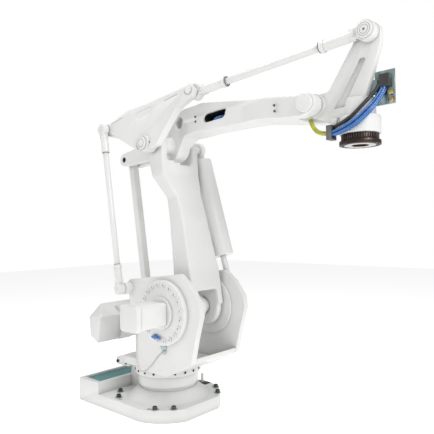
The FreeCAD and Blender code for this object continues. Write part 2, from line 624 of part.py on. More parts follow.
# --- lower arm -----------------------------------------------------------------------------
def make_lower_arm():
    """The lower arm: a bowed box casting, forked at the foot and at the head."""
    side = prism("ArmSide", "side", [
        (-S.arm_back, 0),
        (S.arm_front_low, 0),
        (S.arm_front_low, S.arm_low_height),
        (S.arm_front_mid, S.arm_mid_height),
        (S.arm_front_high, S.arm_high_height),
        (S.arm_head_radius, S.lower_length),
        (-S.arm_head_radius, S.lower_length),
        (-S.arm_back_high, S.arm_high_height),
        (-S.arm_back, S.arm_neck_height),
    ], -S.arm_head_near, S.arm_head_far)
    front = prism("ArmFront", "front", [
        (-S.arm_foot_half_width, -S.arm_foot_radius),
        (S.arm_foot_half_width, -S.arm_foot_radius),
        (S.arm_foot_half_width, S.arm_low_height),
        (S.arm_half_width, S.arm_mid_height),
        (S.arm_half_width, S.arm_neck_height),
        (S.arm_head_far, S.arm_high_height),
        (S.arm_head_far, S.lower_length + S.arm_head_radius),
        (-S.arm_head_near, S.lower_length + S.arm_head_radius),
        (-S.arm_head_near, S.arm_high_height),
        (-S.arm_half_width, S.arm_neck_height),
        (-S.arm_half_width, S.arm_mid_height),
        (-S.arm_foot_half_width, S.arm_low_height),
    ], -S.arm_foot_radius * 2, S.arm_foot_radius * 2)
    foot = drum("ArmFoot", "y", S.arm_foot_radius, S.arm_foot_half_width * 2,
                (0, -S.arm_foot_half_width, 0))
    head = drum("ArmHead", "y", S.arm_head_radius, S.arm_head_near + S.arm_head_far,
                (0, -S.arm_head_near, S.lower_length))
    outline = common("ArmOutline", fuse("ArmSolid", side, foot, head), front)
    reach = S.arm_foot_radius * 2
    fork = prism("ArmFootFork", "side", [
        (-reach, -reach),
        (reach, -reach),
        (reach, S.arm_fork_front),
        (S.arm_front_low - S.arm_round, S.arm_fork_front),
        (-S.arm_back, S.arm_fork_back),
        (-reach, S.arm_fork_back),
    ], -S.arm_fork_inner, S.arm_fork_inner)
    slot = block("ArmHeadFork", (-reach, -S.arm_head_inner_near, S.lower_length - S.arm_head_depth),
                 (reach, S.arm_head_inner_far, S.lower_length + reach))
    relief = prism("ArmSwingRelief", "side", [
        (-reach, S.arm_relief_height),
        (-S.arm_back - S.arm_relief_foot, S.arm_relief_height),
        (-S.arm_relief_foot, S.lower_length - S.arm_relief_drop),
        (S.arm_relief_reach, S.lower_length - S.arm_head_depth + S.side_gap),
        (-reach, S.lower_length - S.arm_head_depth + S.side_gap),
    ], -S.arm_relief_near, S.arm_relief_far)
    brow = prism("ArmBrowRelief", "side", [
        (S.arm_brow_start, S.lower_length - S.arm_head_depth + S.side_gap),
        (S.arm_brow_start, S.lower_length - S.arm_head_depth),
        (S.arm_brow_foot, S.lower_length - S.arm_brow_drop),
        (reach, S.lower_length - S.arm_brow_drop),
        (reach, S.lower_length - S.arm_head_depth + S.side_gap),
    ], -S.arm_relief_far, S.arm_relief_far)
    bores = [
        drum("ArmFootBore", "y", S.arm_axle_radius + S.pin_gap, reach * 2, (0, -reach, 0)),
        drum("ArmHeadBore", "y", S.elbow_pin_radius, reach * 2, (0, -reach, S.lower_length)),
    ]
    finish("lower_arm", cut("LowerArm", outline, fork, slot, relief, brow, *bores), SHOULDER, LEAN)


def make_elbow_axle():
    """The elbow axle with its cap; the link, the upper arm and the gas spring hang from it."""
    near_end = S.link_hub_face + S.pin_gap * 2
    far_end = S.spring_y + S.spring_eye_half_thickness + S.side_gap
    axle = drum("ElbowPin", "y", S.elbow_pin_radius, near_end + far_end, (0, -near_end, 0))
    cap = drum("ElbowCap", "y", S.elbow_cap_radius, S.elbow_cap_height,
               (0, -near_end - S.elbow_cap_height, 0))
    washer = drum("ElbowWasher", "y", S.elbow_cap_radius, S.side_gap, (0, far_end - S.side_gap, 0))
    finish("elbow_axle", fuse("ElbowAxle", axle, cap, washer), ELBOW)


# --- gas spring ----------------------------------------------------------------------------
def make_gas_spring():
    """The balancing spring: a barrel on the elbow axle and a rod that slides in it."""
    top = -S.spring_barrel_start
    low = -S.spring_barrel_start - S.spring_barrel_length
    barrel = drum("SpringBarrel", "z", S.spring_barrel_radius, S.spring_barrel_length, (0, 0, low))
    neck = block("SpringNeck", (-S.spring_head_radius / 2, -S.spring_eye_half_thickness, top),
                 (S.spring_head_radius / 2, S.spring_eye_half_thickness, 0))
    head = drum("SpringHead", "y", S.spring_head_radius, S.spring_eye_half_thickness * 2,
                (0, -S.spring_eye_half_thickness, 0))
    bore = drum("SpringBore", "z", S.spring_rod_radius + S.spring_rod_gap, S.spring_bore_depth,
                (0, 0, low))
    pin_hole = drum("SpringPinHole", "y", S.elbow_pin_radius + S.pin_gap, S.spring_head_radius * 2,
                    (0, -S.spring_head_radius, 0))
    pivot = (ELBOW[0], S.spring_y, ELBOW[2])
    body = fuse("SpringBody", barrel, neck, head)
    finish("spring_barrel", cut("SpringCase", body, bore, pin_hole), pivot, SPRING_TURN)
    rod_end = -SPRING_LENGTH
    rod = drum("SpringShaft", "z", S.spring_rod_radius, SPRING_LENGTH + low + S.spring_rod_inside,
               (0, 0, rod_end))
    eye = drum("SpringEye", "y", S.spring_eye_radius, S.spring_eye_half_thickness * 2,
               (0, -S.spring_eye_half_thickness, rod_end))
    eye_hole = drum("SpringEyeHole", "y", S.rod_pin_radius, S.spring_eye_radius * 2,
                    (0, -S.spring_eye_radius, rod_end))
    finish("spring_rod", cut("SpringRod", fuse("SpringRodSolid", rod, eye), eye_hole), pivot,
           SPRING_TURN)


# --- parallel arm ----------------------------------------------------------------------------
def make_parallel_arm():
    """The arm behind the shoulder that drives the rod to the upper arm, with its weight."""
    near = -S.rear_lever_y - S.crank_half_width
    far = S.crank_half_width - S.rear_lever_y
    beam = prism("CrankBeam", "side", [
        (0, S.crank_hub_radius),
        (0, -S.crank_hub_radius),
        (-CRANK_LENGTH, -S.crank_depth),
        (-S.weight_sole, -S.weight_sole_drop),
        (-S.weight_rear, S.weight_front_drop),
        (-CRANK_LENGTH, S.crank_depth - S.crank_taper),
    ], near, far)
    hub = drum("CrankHub", "y", S.crank_hub_radius, S.crank_half_width * 2, (0, near, 0))
    axle = drum("CrankAxle", "y", S.arm_axle_radius, S.crank_axle_half_length * 2,
                (0, -S.crank_axle_half_length, 0))
    centre = -S.rear_lever_y
    slot = block("CrankSlot", (-CRANK_LENGTH - S.crank_slot_rear, centre - S.crank_slot_half_width,
                               -S.weight_half_width),
                 (S.crank_slot_front - CRANK_LENGTH, centre + S.crank_slot_half_width,
                  S.weight_half_width))
    bore = drum("CrankBore", "y", S.crank_pin_radius + S.pin_gap, S.weight_half_width * 2,
                (-CRANK_LENGTH, -S.weight_half_width, 0))
    groove = prism("CrankRodGroove", "side", [
        (S.rod_groove_start - CRANK_LENGTH, S.rod_groove_low),
        (S.rod_groove_end - CRANK_LENGTH, S.rod_groove_high),
        (S.rod_groove_end - CRANK_LENGTH, S.weight_half_width),
        (S.rod_groove_start - CRANK_LENGTH, S.weight_half_width),
    ], centre - S.crank_slot_half_width, centre + S.crank_slot_half_width)
    solid = fuse("CrankSolid", beam, hub, axle)
    weight_space = weight_prism("WeightSpace")
    finish("parallel_arm", cut("ParallelArm", solid, slot, bore, groove, weight_space), SHOULDER,
           CRANK_TURN)
    finish("counterweight", weight_prism("Counterweight"), SHOULDER, CRANK_TURN)


def weight_prism(name):
    """The wedge-shaped weight, with its top ends cut off at a slant."""
    wedge = prism(name + "Side", "side", [
        (-S.weight_front, -S.weight_front_drop),
        (-S.weight_rear, S.weight_rear_rise),
        (-S.weight_rear, -S.weight_rear_drop),
        (-S.weight_sole, -S.weight_sole_drop),
    ], -S.weight_half_width, S.weight_half_width)
    ends = prism(name + "Ends", "front", [
        (-S.weight_half_width, -S.weight_sole_drop),
        (S.weight_half_width, -S.weight_sole_drop),
        (S.weight_half_width, -S.weight_front_drop),
        (S.weight_crown_half_width, S.weight_rear_rise),
        (-S.weight_crown_half_width, S.weight_rear_rise),
        (-S.weight_half_width, -S.weight_front_drop),
    ], -S.weight_rear, -S.weight_front)
    return common(name, wedge, ends)


def make_parallel_rod():
    """The square rod between the parallel arm and the upper arm, with its lower pin."""
    half = S.parallel_side / 2
    bar = block("RodBar", (-half, -half, 0), (half, half, S.lower_length))
    eyes = [
        drum(f"BarEye_{index}", "y", S.parallel_eye_radius, S.parallel_eye_half_width * 2,
             (0, -S.parallel_eye_half_width, height))
        for index, height in enumerate((0, S.lower_length))
    ]
    low_hole = drum("BarLowHole", "y", S.crank_pin_radius + S.pin_gap, S.parallel_side * 2,
                    (0, -S.parallel_side, 0))
    high_hole = drum("BarHighHole", "y", S.beam_pin_radius + S.open_pivot_gap, S.parallel_side * 2,
                     (0, -S.parallel_side, S.lower_length))
    rod = cut("ParallelRod", fuse("RodSolid", bar, *eyes), low_hole, high_hole)
    finish("parallel_rod", rod, CRANK, LEAN)
    pin = drum("CrankPin", "y", S.crank_pin_radius, S.crank_half_width * 2,
               (0, -S.crank_half_width, 0))
    finish("crank_pin", pin, CRANK)


# --- round rods ------------------------------------------------------------------------------
def rod_end(label, axis, eye_at, sign, eye, sleeve, pivot, turn):
    """An eye, a flat neck and a round sleeve on a rod's own axis.

    eye is (radius, half width, hole radius); sleeve is (radius, start, end), measured from
    the eye's centre; sign tells which way the sleeve runs.
    """
    eye_radius, half, hole_radius = eye
    sleeve_radius, start, end = sleeve
    low = eye_at + start if sign > 0 else eye_at - end
    neck_low = eye_at if sign > 0 else eye_at - start - half
    neck_high = eye_at + start + half if sign > 0 else eye_at
    if axis == "z":
        spots = ((0, -half, eye_at), (0, 0, low), (0, -half * 2, eye_at))
        neck_box = ((-half, -half, neck_low), (half, half, neck_high))
    else:
        spots = ((eye_at, -half, 0), (low, 0, 0), (eye_at, -half * 2, 0))
        neck_box = ((neck_low, -half, -half), (neck_high, half, half))
    name = label.title().replace("_", "")
    ring = drum(name + "Ring", "y", eye_radius, half * 2, spots[0])
    tube = drum(name + "Tube", axis, sleeve_radius, end - start, spots[1])
    hole = drum(name + "Hole", "y", hole_radius, half * 4, spots[2])
    neck = block(name + "Neck", *neck_box)
    finish(label, cut(name, fuse(name + "Solid", ring, neck, tube), hole), pivot, turn)


def make_thin_rod():
    """The thin rod that keeps the link level: a tube between two eyes."""
    pivot = (LOW_ROD[0], -S.rod_y, LOW_ROD[2])
    sleeve = (S.rod_sleeve_radius, S.rod_sleeve_start, S.rod_sleeve_end)
    low_eye = (S.rod_eye_radius, S.rod_eye_half_width, S.rod_pin_radius + S.pin_gap)
    high_eye = (S.rod_eye_radius, S.rod_eye_half_width, S.rod_pin_radius + S.open_pivot_gap)
    rod_end("thin_rod_foot", "z", as_size(0), 1, low_eye, sleeve, pivot, LEAN)
    rod_end("thin_rod_head", "z", S.lower_length, -1, high_eye, sleeve, pivot, LEAN)
    tube = drum("ThinTube", "z", S.rod_radius, S.lower_length - S.rod_sleeve_end * 2,
                (0, 0, S.rod_sleeve_end))
    finish("thin_rod", tube, pivot, LEAN)


def make_tie_rod():
    """The upper rod that keeps the tilt house level: a tube between two eyes."""
    pivot = (HIGH_TIE[0], -S.tie_y, HIGH_TIE[2])
    sleeve = (S.tie_sleeve_radius, S.tie_sleeve_start, S.tie_sleeve_end)
    rear_eye = (S.tie_eye_radius, S.tie_eye_half_width, S.link_pin_radius + S.pin_gap)
    front_eye = (S.tie_eye_radius, S.tie_eye_half_width, S.fin_pin_radius + S.open_pivot_gap)
    rod_end("tie_rod_rear", "x", as_size(0), 1, rear_eye, sleeve, pivot, DIP)
    rod_end("tie_rod_front", "x", S.upper_length, -1, front_eye, sleeve, pivot, DIP)
    tube = drum("TieTube", "x", S.tie_radius, S.upper_length - S.tie_sleeve_end * 2,
                (S.tie_sleeve_end, 0, 0))
    finish("tie_rod", tube, pivot, DIP)
    start = -S.tie_eye_half_width - S.tie_cap_height
    cap = drum("TieCap", "y", S.tie_cap_radius, S.tie_cap_height, (S.upper_length, start, 0))
    finish("tie_cap", cap, pivot, DIP)


# --- link ---------------------------------------------------------------------------------------
def make_link():
    """The rocker plate at the elbow; its face leans inwards towards the top and the front."""
    outline = prism("LinkOutline", "side", [
        (-S.link_rear - S.link_tip_radius * 0.4, S.link_rear_rise + S.link_tip_radius * 0.6),
        (-S.link_shoulder, S.link_shoulder_rise),
        (-S.link_saddle, S.link_crown),
        (S.link_nose_start, S.link_nose_crown),
        (S.link_front, S.link_front_rise + S.link_nose_radius),
        (S.link_front + S.link_nose_radius, S.link_front_rise),
        (S.link_front + S.link_nose_radius * 0.5, S.link_front_rise - S.link_nose_radius),
        (S.link_waist_front, S.link_waist_rise),
        (S.link_throat, S.link_throat_rise),
        (S.link_hub_radius * 2, -S.link_hub_radius * 0.4),
        (0, -S.link_hub_radius * 0.9),
        (-S.link_hub_radius * 1.2, -S.link_hub_radius * 0.6),
        (-S.link_belly, S.link_belly_rise),
        (-S.link_rear, S.link_rear_rise - S.link_tip_radius),
    ], -S.link_limit, -S.link_nose_back)
    slab = drum("LinkSlab", "y", S.link_slab_radius, S.link_thickness, (0, 0, 0))
    lean = Vector(-S.link_lean_front.value, 1, -S.link_lean_top.value)
    slab.Placement = FreeCAD.Placement(Vector(), FreeCAD.Rotation(Vector(0, 0, 1), lean))
    place(slab, 0, -S.link_face, 0)
    whole = common("LinkSlice", outline, slab)
    tip_face = S.rod_y - S.rod_sleeve_radius - S.side_gap
    spotfaces = [
        drum(f"LinkSpot{index}", "y", radius, S.link_limit - face, (x, -S.link_limit, z))
        for index, (radius, face, x, z) in enumerate((
            (S.link_hub_radius, S.link_hub_face, 0, 0),
            (S.link_tip_pad, tip_face, -S.link_rear, S.link_rear_rise),
            (S.link_pin_head_radius + S.side_gap, S.link_pin_start, S.link_front, S.link_front_rise),
        ))
    ]
    plate = cut("LinkPlate", whole, *spotfaces)
    hub = drum("LinkHub", "y", S.link_hub_radius, S.link_hub_face - S.link_hub_back,
               (0, -S.link_hub_face, 0))
    tip = drum("LinkTip", "y", S.link_tip_radius, tip_face - S.link_tip_back,
               (-S.link_rear, -tip_face, S.link_rear_rise))
    tip_pin = drum("LinkTipPin", "y", S.rod_pin_radius,
                   S.rod_y + S.rod_eye_half_width - tip_face + S.side_gap,
                   (-S.link_rear, -S.rod_y - S.rod_eye_half_width, S.link_rear_rise))
    bore = drum("LinkBore", "y", S.elbow_pin_radius + S.pin_gap, S.link_limit,
                (0, -S.link_limit, 0))
    pin_hole = drum("LinkPinHole", "y", S.link_pin_radius, S.link_limit,
                    (S.link_front, -S.link_limit, S.link_front_rise))
    solid = fuse("LinkSolid", plate, hub, tip, tip_pin, refine=False)
    finish("link_plate", cut("LinkCasting", solid, bore, pin_hole), ELBOW)
    pin_start = S.link_pin_start
    head = drum("LinkPinHead", "y", S.link_pin_head_radius, S.link_pin_head_height,
                (S.link_front, -pin_start - S.link_pin_head_height, S.link_front_rise))
    pin = drum("LinkPinBody", "y", S.link_pin_radius, pin_start - S.tie_y + S.tie_eye_half_width,
               (S.link_front, -pin_start, S.link_front_rise))
    finish("link_pin", fuse("LinkPin", head, pin), ELBOW)


# --- upper arm ------------------------------------------------------------------------------------
def make_upper_arm():
    """The upper arm: a tapering box beam, forked at the wrist and at the rear lever."""
    near, far = S.beam_hub_near, S.beam_hub_far
    side = prism("BeamSide", "side", [
        (-S.beam_hub_radius * 0.4, S.beam_hub_radius * 0.8),
        (S.beam_hub_radius * 0.5, S.beam_brow),
        (S.beam_crown_rear, S.beam_crown),
        (S.beam_crown_front, S.beam_crown),
        (S.beam_top_mid_x, S.beam_top_mid),
        (S.upper_length - S.beam_head_length, S.beam_top_front),
        (S.upper_length, S.beam_nose_radius),
        (S.upper_length, -S.beam_nose_radius),
        (S.upper_length - S.beam_sole_length, -S.beam_sole_front),
        (S.beam_sole_mid_x, S.beam_sole_mid),
        (S.beam_sole_rear, S.beam_sole),
        (S.beam_crown_rear, S.beam_sole),
        (S.beam_hub_radius * 0.8, -S.beam_hub_radius * 0.4),
        (-S.beam_hub_radius * 0.4, -S.beam_hub_radius * 0.6),
    ], -S.beam_head_half_width, S.beam_head_half_width, [(S.arm_round, (1, 2, 3, 10, 11))])
    plan = prism("BeamPlan", "plan", [
        (-S.beam_hub_radius, -S.beam_hub_far),
        (S.beam_waist_x, -S.beam_hub_far),
        (S.beam_wide_x, -S.beam_half_width),
        (S.beam_flare_start, -S.beam_half_width),
        (S.upper_length - S.beam_head_length, -S.beam_head_half_width),
        (S.upper_length + S.beam_nose_radius, -S.beam_head_half_width),
        (S.upper_length + S.beam_nose_radius, S.beam_head_half_width),
        (S.upper_length - S.beam_head_length, S.beam_head_half_width),
        (S.beam_flare_start, S.beam_half_width),
        (S.beam_wide_x, S.beam_half_width),
        (S.beam_waist_x, S.beam_hub_far),
        (-S.beam_hub_radius, S.beam_hub_far),
    ], -S.beam_crown, S.beam_crown)
    nose = drum("BeamNose", "y", S.beam_nose_radius, S.beam_head_half_width * 2,
                (S.upper_length, -S.beam_head_half_width, 0))
    beam = common("BeamBody", fuse("BeamRough", side, nose), plan)
    hub = drum("BeamHub", "y", S.beam_hub_radius, S.beam_hub_far * 2, (0, -S.beam_hub_far, 0))
    boss = drum("BeamBoss", "y", S.beam_boss_radius, near + far, (0, -near, 0))
    centre = -S.rear_lever_y
    lever = prism("BeamLever", "side", [
        (0, S.beam_hub_radius * 0.9),
        (0, -S.beam_hub_radius * 0.9),
        (-S.rear_lever * 0.5, -S.beam_hub_radius * 0.6),
        (-S.rear_lever, -S.rear_lever_drop - S.beam_ear_radius),
        (-S.rear_lever, S.beam_ear_radius - S.rear_lever_drop),
        (-S.rear_lever * 0.5, S.beam_hub_radius * 0.5),
    ], centre - S.beam_ear_outer, centre + S.beam_ear_outer)
    ear = drum("BeamEar", "y", S.beam_ear_radius, S.beam_ear_outer * 2,
               (-S.rear_lever, centre - S.beam_ear_outer, -S.rear_lever_drop))
    solid = fuse("BeamSolid", beam, hub, boss, lever, ear)
    reach = S.beam_head_half_width * 2
    shelf = prism("BeamShelf", "front", [
        (-reach, S.beam_shelf_low),
        (-S.beam_half_width, S.beam_shelf_low),
        (-S.beam_shelf_half_width, S.beam_shelf_high),
        (-S.beam_shelf_half_width, reach),
        (-reach, reach),
    ], 0, S.upper_length)
    ear_slot = block("EarSlot", (-S.rear_lever * 2, centre - S.beam_ear_gap, -reach),
                     (S.beam_ear_slot - S.rear_lever, centre + S.beam_ear_gap, reach))
    fork = block("WristSlot", (S.upper_length - S.beam_fork_depth, -S.beam_fork_inner, -reach),
                 (S.upper_length + reach, S.beam_fork_inner, reach))
    window = oval("BeamWindow", S.beam_slot_x, S.beam_slot_z, S.beam_slot_length / 2,
                  S.beam_slot_height / 2, -S.beam_head_half_width, S.beam_slot_floor)
    upper_eye = drum("UpperOpening", "y", S.beam_eye_radius, S.beam_head_half_width,
                     (S.beam_eye_x, -S.beam_head_half_width, S.beam_eye_z))
    bores = [
        drum("BeamHubBore", "y", S.elbow_pin_radius + S.pin_gap, reach, (0, -reach / 2, 0)),
        drum("BeamEarBore", "y", S.beam_pin_radius, reach,
             (-S.rear_lever, -reach / 2, -S.rear_lever_drop)),
        drum("BeamNoseBore", "y", S.tilt_pin_radius, reach * 2, (S.upper_length, -reach, 0)),
    ]
    finish("upper_arm", cut("UpperArm", solid, shelf, ear_slot, fork, window, upper_eye, *bores),
           ELBOW, DIP)
    lever_pin = drum("LeverPin", "y", S.beam_pin_radius, S.beam_ear_outer * 2,
                     (-S.rear_lever, centre - S.beam_ear_outer, -S.rear_lever_drop))
    finish("lever_pin", lever_pin, ELBOW, DIP)
    pin = drum("TiltPinBody", "y", S.tilt_pin_radius, S.beam_head_half_width * 2,
               (S.upper_length, -S.beam_head_half_width, 0))
    caps = [
        drum(f"TiltCap_{index}", "y", S.tilt_cap_radius, S.tilt_cap_height, (S.upper_length, at, 0))
        for index, at in enumerate((-S.beam_head_half_width - S.tilt_cap_height,
                                    S.beam_head_half_width))
    ]
    finish("tilt_pin", fuse("TiltPin", pin, *caps), ELBOW, DIP)


def oval(name, x, z, half_length, half_height, low, high):
    """A long hole with round ends, across the side view."""
    middle = block(name + "Middle", (x - half_length + half_height, low, z - half_height),
                   (x + half_length - half_height, high, z + half_height))
    ends = [
        drum(f"{name}End_{index}", "y", half_height, high - low, (at, low, z))
        for index, at in enumerate((x - half_length + half_height, x + half_length - half_height))
    ]
    return fuse(name, middle, *ends)


# --- tilt house -----------------------------------------------------------------------------------
def make_tilt_house():
    """The bracket that hangs the wrist from the upper arm and takes the upper rod."""
    fin = prism("FinOutline", "side", [
        (-S.fin_hub_radius * 0.3, S.fin_hub_radius * 0.9),
        (S.fin_waist_x, S.fin_waist_z),
        (S.fin_back_x, S.fin_back_z),
        (S.link_front - S.fin_tip_radius * 1.5, S.link_front_rise - S.fin_tip_radius * 0.3),
        (S.link_front - S.fin_tip_radius, S.link_front_rise + S.fin_tip_radius),
        (S.link_front + S.fin_tip_radius, S.link_front_rise + S.fin_tip_radius),
        (S.link_front + S.fin_tip_radius, S.link_front_rise - S.fin_tip_radius),
        (S.fin_front_x, S.fin_front_z),
        (S.fin_chin_x, -S.fin_chin_z),
        (S.fin_sole_x, -S.fin_sole_z),
        (0, -S.fin_hub_radius),
    ], -S.fin_face, -S.fin_back_face,
        [(S.fin_tip_radius * 0.95, (4, 5)), (S.arm_round, (1, 8, 9))])
    hub = drum("FinHub", "y", S.fin_hub_radius, S.fin_hub_half_width * 2,
               (0, -S.fin_hub_half_width, 0))
    carrier = drum("DrumCarrier", "z", S.carrier_radius, S.carrier_top + S.drum_top,
                   (S.wrist_reach, 0, -S.drum_top))
    rib = block("HouseRib", (0, -S.fin_back_face - S.side_gap, -S.fin_hub_radius),
                (S.wrist_reach, S.fin_hub_half_width / 2, S.rib_top))
    lug = block("StrapLug", (S.strap_x, -S.strap_far, -S.strap_lug_low),
                (S.strap_x + S.strap_length, -S.fin_back_face, -S.strap_lug_top))
    pocket = fin_pocket()
    notch = drum("DrumNotch", "z", S.drum_radius + S.side_gap, S.wrist_drop - S.drum_top,
                 (S.wrist_reach, 0, -S.wrist_drop))
    pin_hole = drum("FinPinHole", "y", S.fin_pin_radius, S.fin_face * 2,
                    (S.link_front, -S.fin_face * 2, S.link_front_rise))
    bore = drum("FinBore", "y", S.tilt_pin_radius + S.pin_gap, S.fin_hub_half_width * 4,
                (0, -S.fin_hub_half_width * 2, 0))
    solid = fuse("HouseSolid", fin, hub, carrier, rib, lug)
    finish("tilt_house", cut("TiltHouse", solid, pocket, notch, pin_hole, bore), TILT)
    pin_end = S.tie_y + S.tie_eye_half_width - S.open_pivot_gap
    pin = drum("FinPin", "y", S.fin_pin_radius, pin_end - S.fin_back_face,
               (S.link_front, -pin_end, S.link_front_rise))
    finish("fin_pin", pin, TILT)
    drum_at = (S.wrist_reach, 0, -S.drum_top - S.drum_height)
    outer = drum("DrumOuter", "z", S.drum_radius, S.drum_height, drum_at)
    inner = drum("DrumBore", "z", S.spigot_radius + S.pin_gap, S.drum_bore_depth, drum_at)
    finish("wrist_drum", cut("WristDrum", outer, inner), TILT)


def fin_pocket():
    """The long shallow pocket in the fin's near face."""
    depth_face = S.fin_pocket_depth - S.fin_face
    return prism("FinPocket", "side", [
        (S.pocket_low_x - S.pocket_half_width, -S.pocket_low_z),
        (S.pocket_low_x + S.pocket_half_width * 2, -S.pocket_low_z),
        (S.pocket_high_x + S.pocket_half_width, S.pocket_high_z),
        (S.pocket_high_x - S.pocket_half_width, S.pocket_high_z),
    ], -S.fin_face * 2, depth_face, [(S.pocket_half_width * 0.6, (2, 3))])


def make_hose_bracket():
    """The plate in front of the wrist with its connector and fittings."""
    plate = block("BracketPlate", (S.bracket_rear, -S.bracket_thickness, -S.bracket_drop),
                  (S.bracket_front, 0, S.bracket_rise))
    spacer = block("BracketSpacer", (S.spacer_rear, -S.fin_back_face, S.spacer_low),
                   (S.bracket_rear + S.spacer_overlap, -S.bracket_thickness, S.spacer_high))
    finish("hose_bracket", fuse("HoseBracket", plate, spacer), TILT)
    socket = block("PlugSocket",
                   (S.plug_x, -S.bracket_thickness - S.plug_depth, S.plug_z),
                   (S.plug_x + S.plug_length, -S.bracket_thickness, S.plug_z + S.plug_height))
    finish("cable_plug", socket, TILT)
    for index, height in enumerate((S.fitting_z, -S.fitting_low_z)):
        fitting = drum(f"Fitting{index}", "y", S.fitting_radius, S.fitting_length,
                       (S.fitting_x, -S.bracket_thickness - S.fitting_length, height))
        finish(f"hose_fitting_{index + 1}", fitting, TILT)


def pipe(name, radius, points, bends):
    """A round hose along straight runs with a tangent arc at every inner corner."""
    path = hose_path(points, bends)
    start = path.Edges[0]
    origin = start.valueAt(start.FirstParameter)
    direction = start.tangentAt(start.FirstParameter)
    profile = Part.Wire([Part.makeCircle(radius.value, origin, direction)])
    hose = document.addObject("Part::Feature", name)
    hose.Shape = path.makePipeShell([profile], True, True)
    return hose


def hose_path(points, bend):
    """Join points by straight runs, and round every inner corner with an arc."""
    corners = [Vector(*(as_size(value).value for value in point)) for point in points]
    edges = []
    last = corners[0]
    for before, corner, after in zip(corners, corners[1:], corners[2:]):
        back = (before - corner).normalize()
        ahead = (after - corner).normalize()
        half_angle = back.getAngle(ahead) / 2
        reach = bend.value / math.tan(half_angle)
        reach = min(reach, (before - corner).Length * 0.45, (after - corner).Length * 0.45)
        radius = reach * math.tan(half_angle)
        middle_line = (back + ahead).normalize()
        centre_distance = radius / math.sin(half_angle)
        entry = corner + back * reach
        leave = corner + ahead * reach
        middle = corner + middle_line * (centre_distance - radius)
        edges.append(Part.LineSegment(last, entry).toShape())
        edges.append(Part.Arc(entry, middle, leave).toShape())
        last = leave
    edges.append(Part.LineSegment(last, corners[-1]).toShape())
    return Part.Wire(edges)


def make_hoses():
    """The hoses and the cable that run from the bracket round the wrist to a strap."""
    hoses = []
    for index in range(4):
        side = S.hose_pitch * (index % 2)
        depth = S.hose_depth_pitch * (index // 2)
        start_x = S.plug_x + S.hose_inset + side
        hose = pipe(f"Hose{index}", S.hose_radius, [
            (start_x, -S.hose_start_y - depth, S.plug_z),
            (start_x, -S.hose_start_y - depth, S.plug_z - S.hose_lead),
            (S.hose_high_x + side, -S.hose_y - depth, -S.hose_high_z - side),
            (S.hose_low_x + side, -S.hose_y - depth, -S.hose_low_z - side),
            (S.strap_x + S.hose_end, -S.strap_hose_y - depth, -S.strap_hose_z - side),
        ], S.hose_bend)
        hoses.append(finish(f"air_hose_{index + 1}", hose, TILT))
    cable = pipe("Cable", S.cable_radius, [
        (S.plug_x, -S.cable_start_y, S.plug_z + S.plug_height / 2),
        (S.cable_high_x, -S.cable_start_y, S.plug_z),
        (S.cable_mid_x, -S.cable_y, -S.cable_mid_z),
        (S.cable_low_x, -S.cable_y, -S.cable_low_z),
        (S.strap_x + S.hose_end, -S.strap_hose_y, -S.strap_cable_z),
    ], S.hose_bend)
    hoses.append(finish("wrist_cable", cable, TILT))
    strap = block("StrapBlock", (S.strap_x, -S.strap_near, -S.strap_low),
                  (S.strap_x + S.strap_length, -S.strap_far, -S.strap_high))
    finish("hose_strap", cut("HoseStrap", place(strap, TILT[0] + S.strap_x, -S.strap_near,
                                                TILT[2] - S.strap_low), *hoses))
    sleeve = pipe("Sleeve", S.sleeve_radius, [
        (-S.sleeve_start_x, -S.sleeve_y, -S.sleeve_start_z),
        (-S.sleeve_mid_x, -S.sleeve_mid_y, -S.sleeve_mid_z),
        (S.sleeve_end_x, -S.sleeve_end_y, -S.sleeve_end_z),
        (S.strap_x, -S.sleeve_end_y, -S.sleeve_end_z),
    ], S.hose_bend)
    finish("hose_sleeve", sleeve, TILT)


def make_tool_disc():
    """The turning dial ring and the tool flange below the wrist drum."""
    low = S.disc_height - S.wrist_drop
    ring = drum("DialBody", "z", S.dial_radius, S.dial_height, (S.wrist_reach, 0, low))
    spigot = drum("DialSpigot", "z", S.spigot_radius, S.dial_height + S.spigot_height,
                  (S.wrist_reach, 0, low))
    finish("dial_ring", fuse("DialRing", ring, spigot), TILT)
    disc = drum("DiscBody", "z", S.disc_radius, S.disc_height, (S.wrist_reach, 0, -S.wrist_drop))
    holes = []
    for index in range(int(S.tool_hole_count.value)):
        x, y = polar(0.5, 360 / S.tool_hole_count.value * (index + 0.5))
        holes.append(drum(f"ToolHole_{index}", "z", S.tool_hole_diameter / 2, S.disc_height,
                          (S.wrist_reach + S.tool_circle * x, S.tool_circle * y, -S.wrist_drop)))
    bore = drum("ToolBore", "z", S.tool_bore_diameter / 2, S.tool_bore_depth,
                (S.wrist_reach, 0, -S.wrist_drop))
    finish("tool_disc", cut("ToolDisc", disc, bore, *holes), TILT)


# --- cable loop on the turret -------------------------------------------------------------------
def make_motor_cable():
    """The pale cable that hangs in a loop from the near motor's cap."""
    x, z = S.shoulder_reach, S.shoulder_height
    cable = pipe("MotorCable", S.loop_radius, [
        (x + S.loop_rear, -S.loop_far_y, z - S.motor_cap_side / 2),
        (x + S.loop_rear - S.loop_drift, -S.loop_far_y, z - S.loop_mid),
        (x + S.loop_low_x, -S.loop_mid_y, z - S.loop_low),
        (x, -S.loop_turn_y, z - S.loop_turn),
        (x - S.loop_front, -S.loop_near_y, z - S.loop_plug),
        (x - S.loop_front, -S.near_cheek_face, z - S.loop_plug),
    ], S.loop_bend)
    finish("motor_cable", cable)


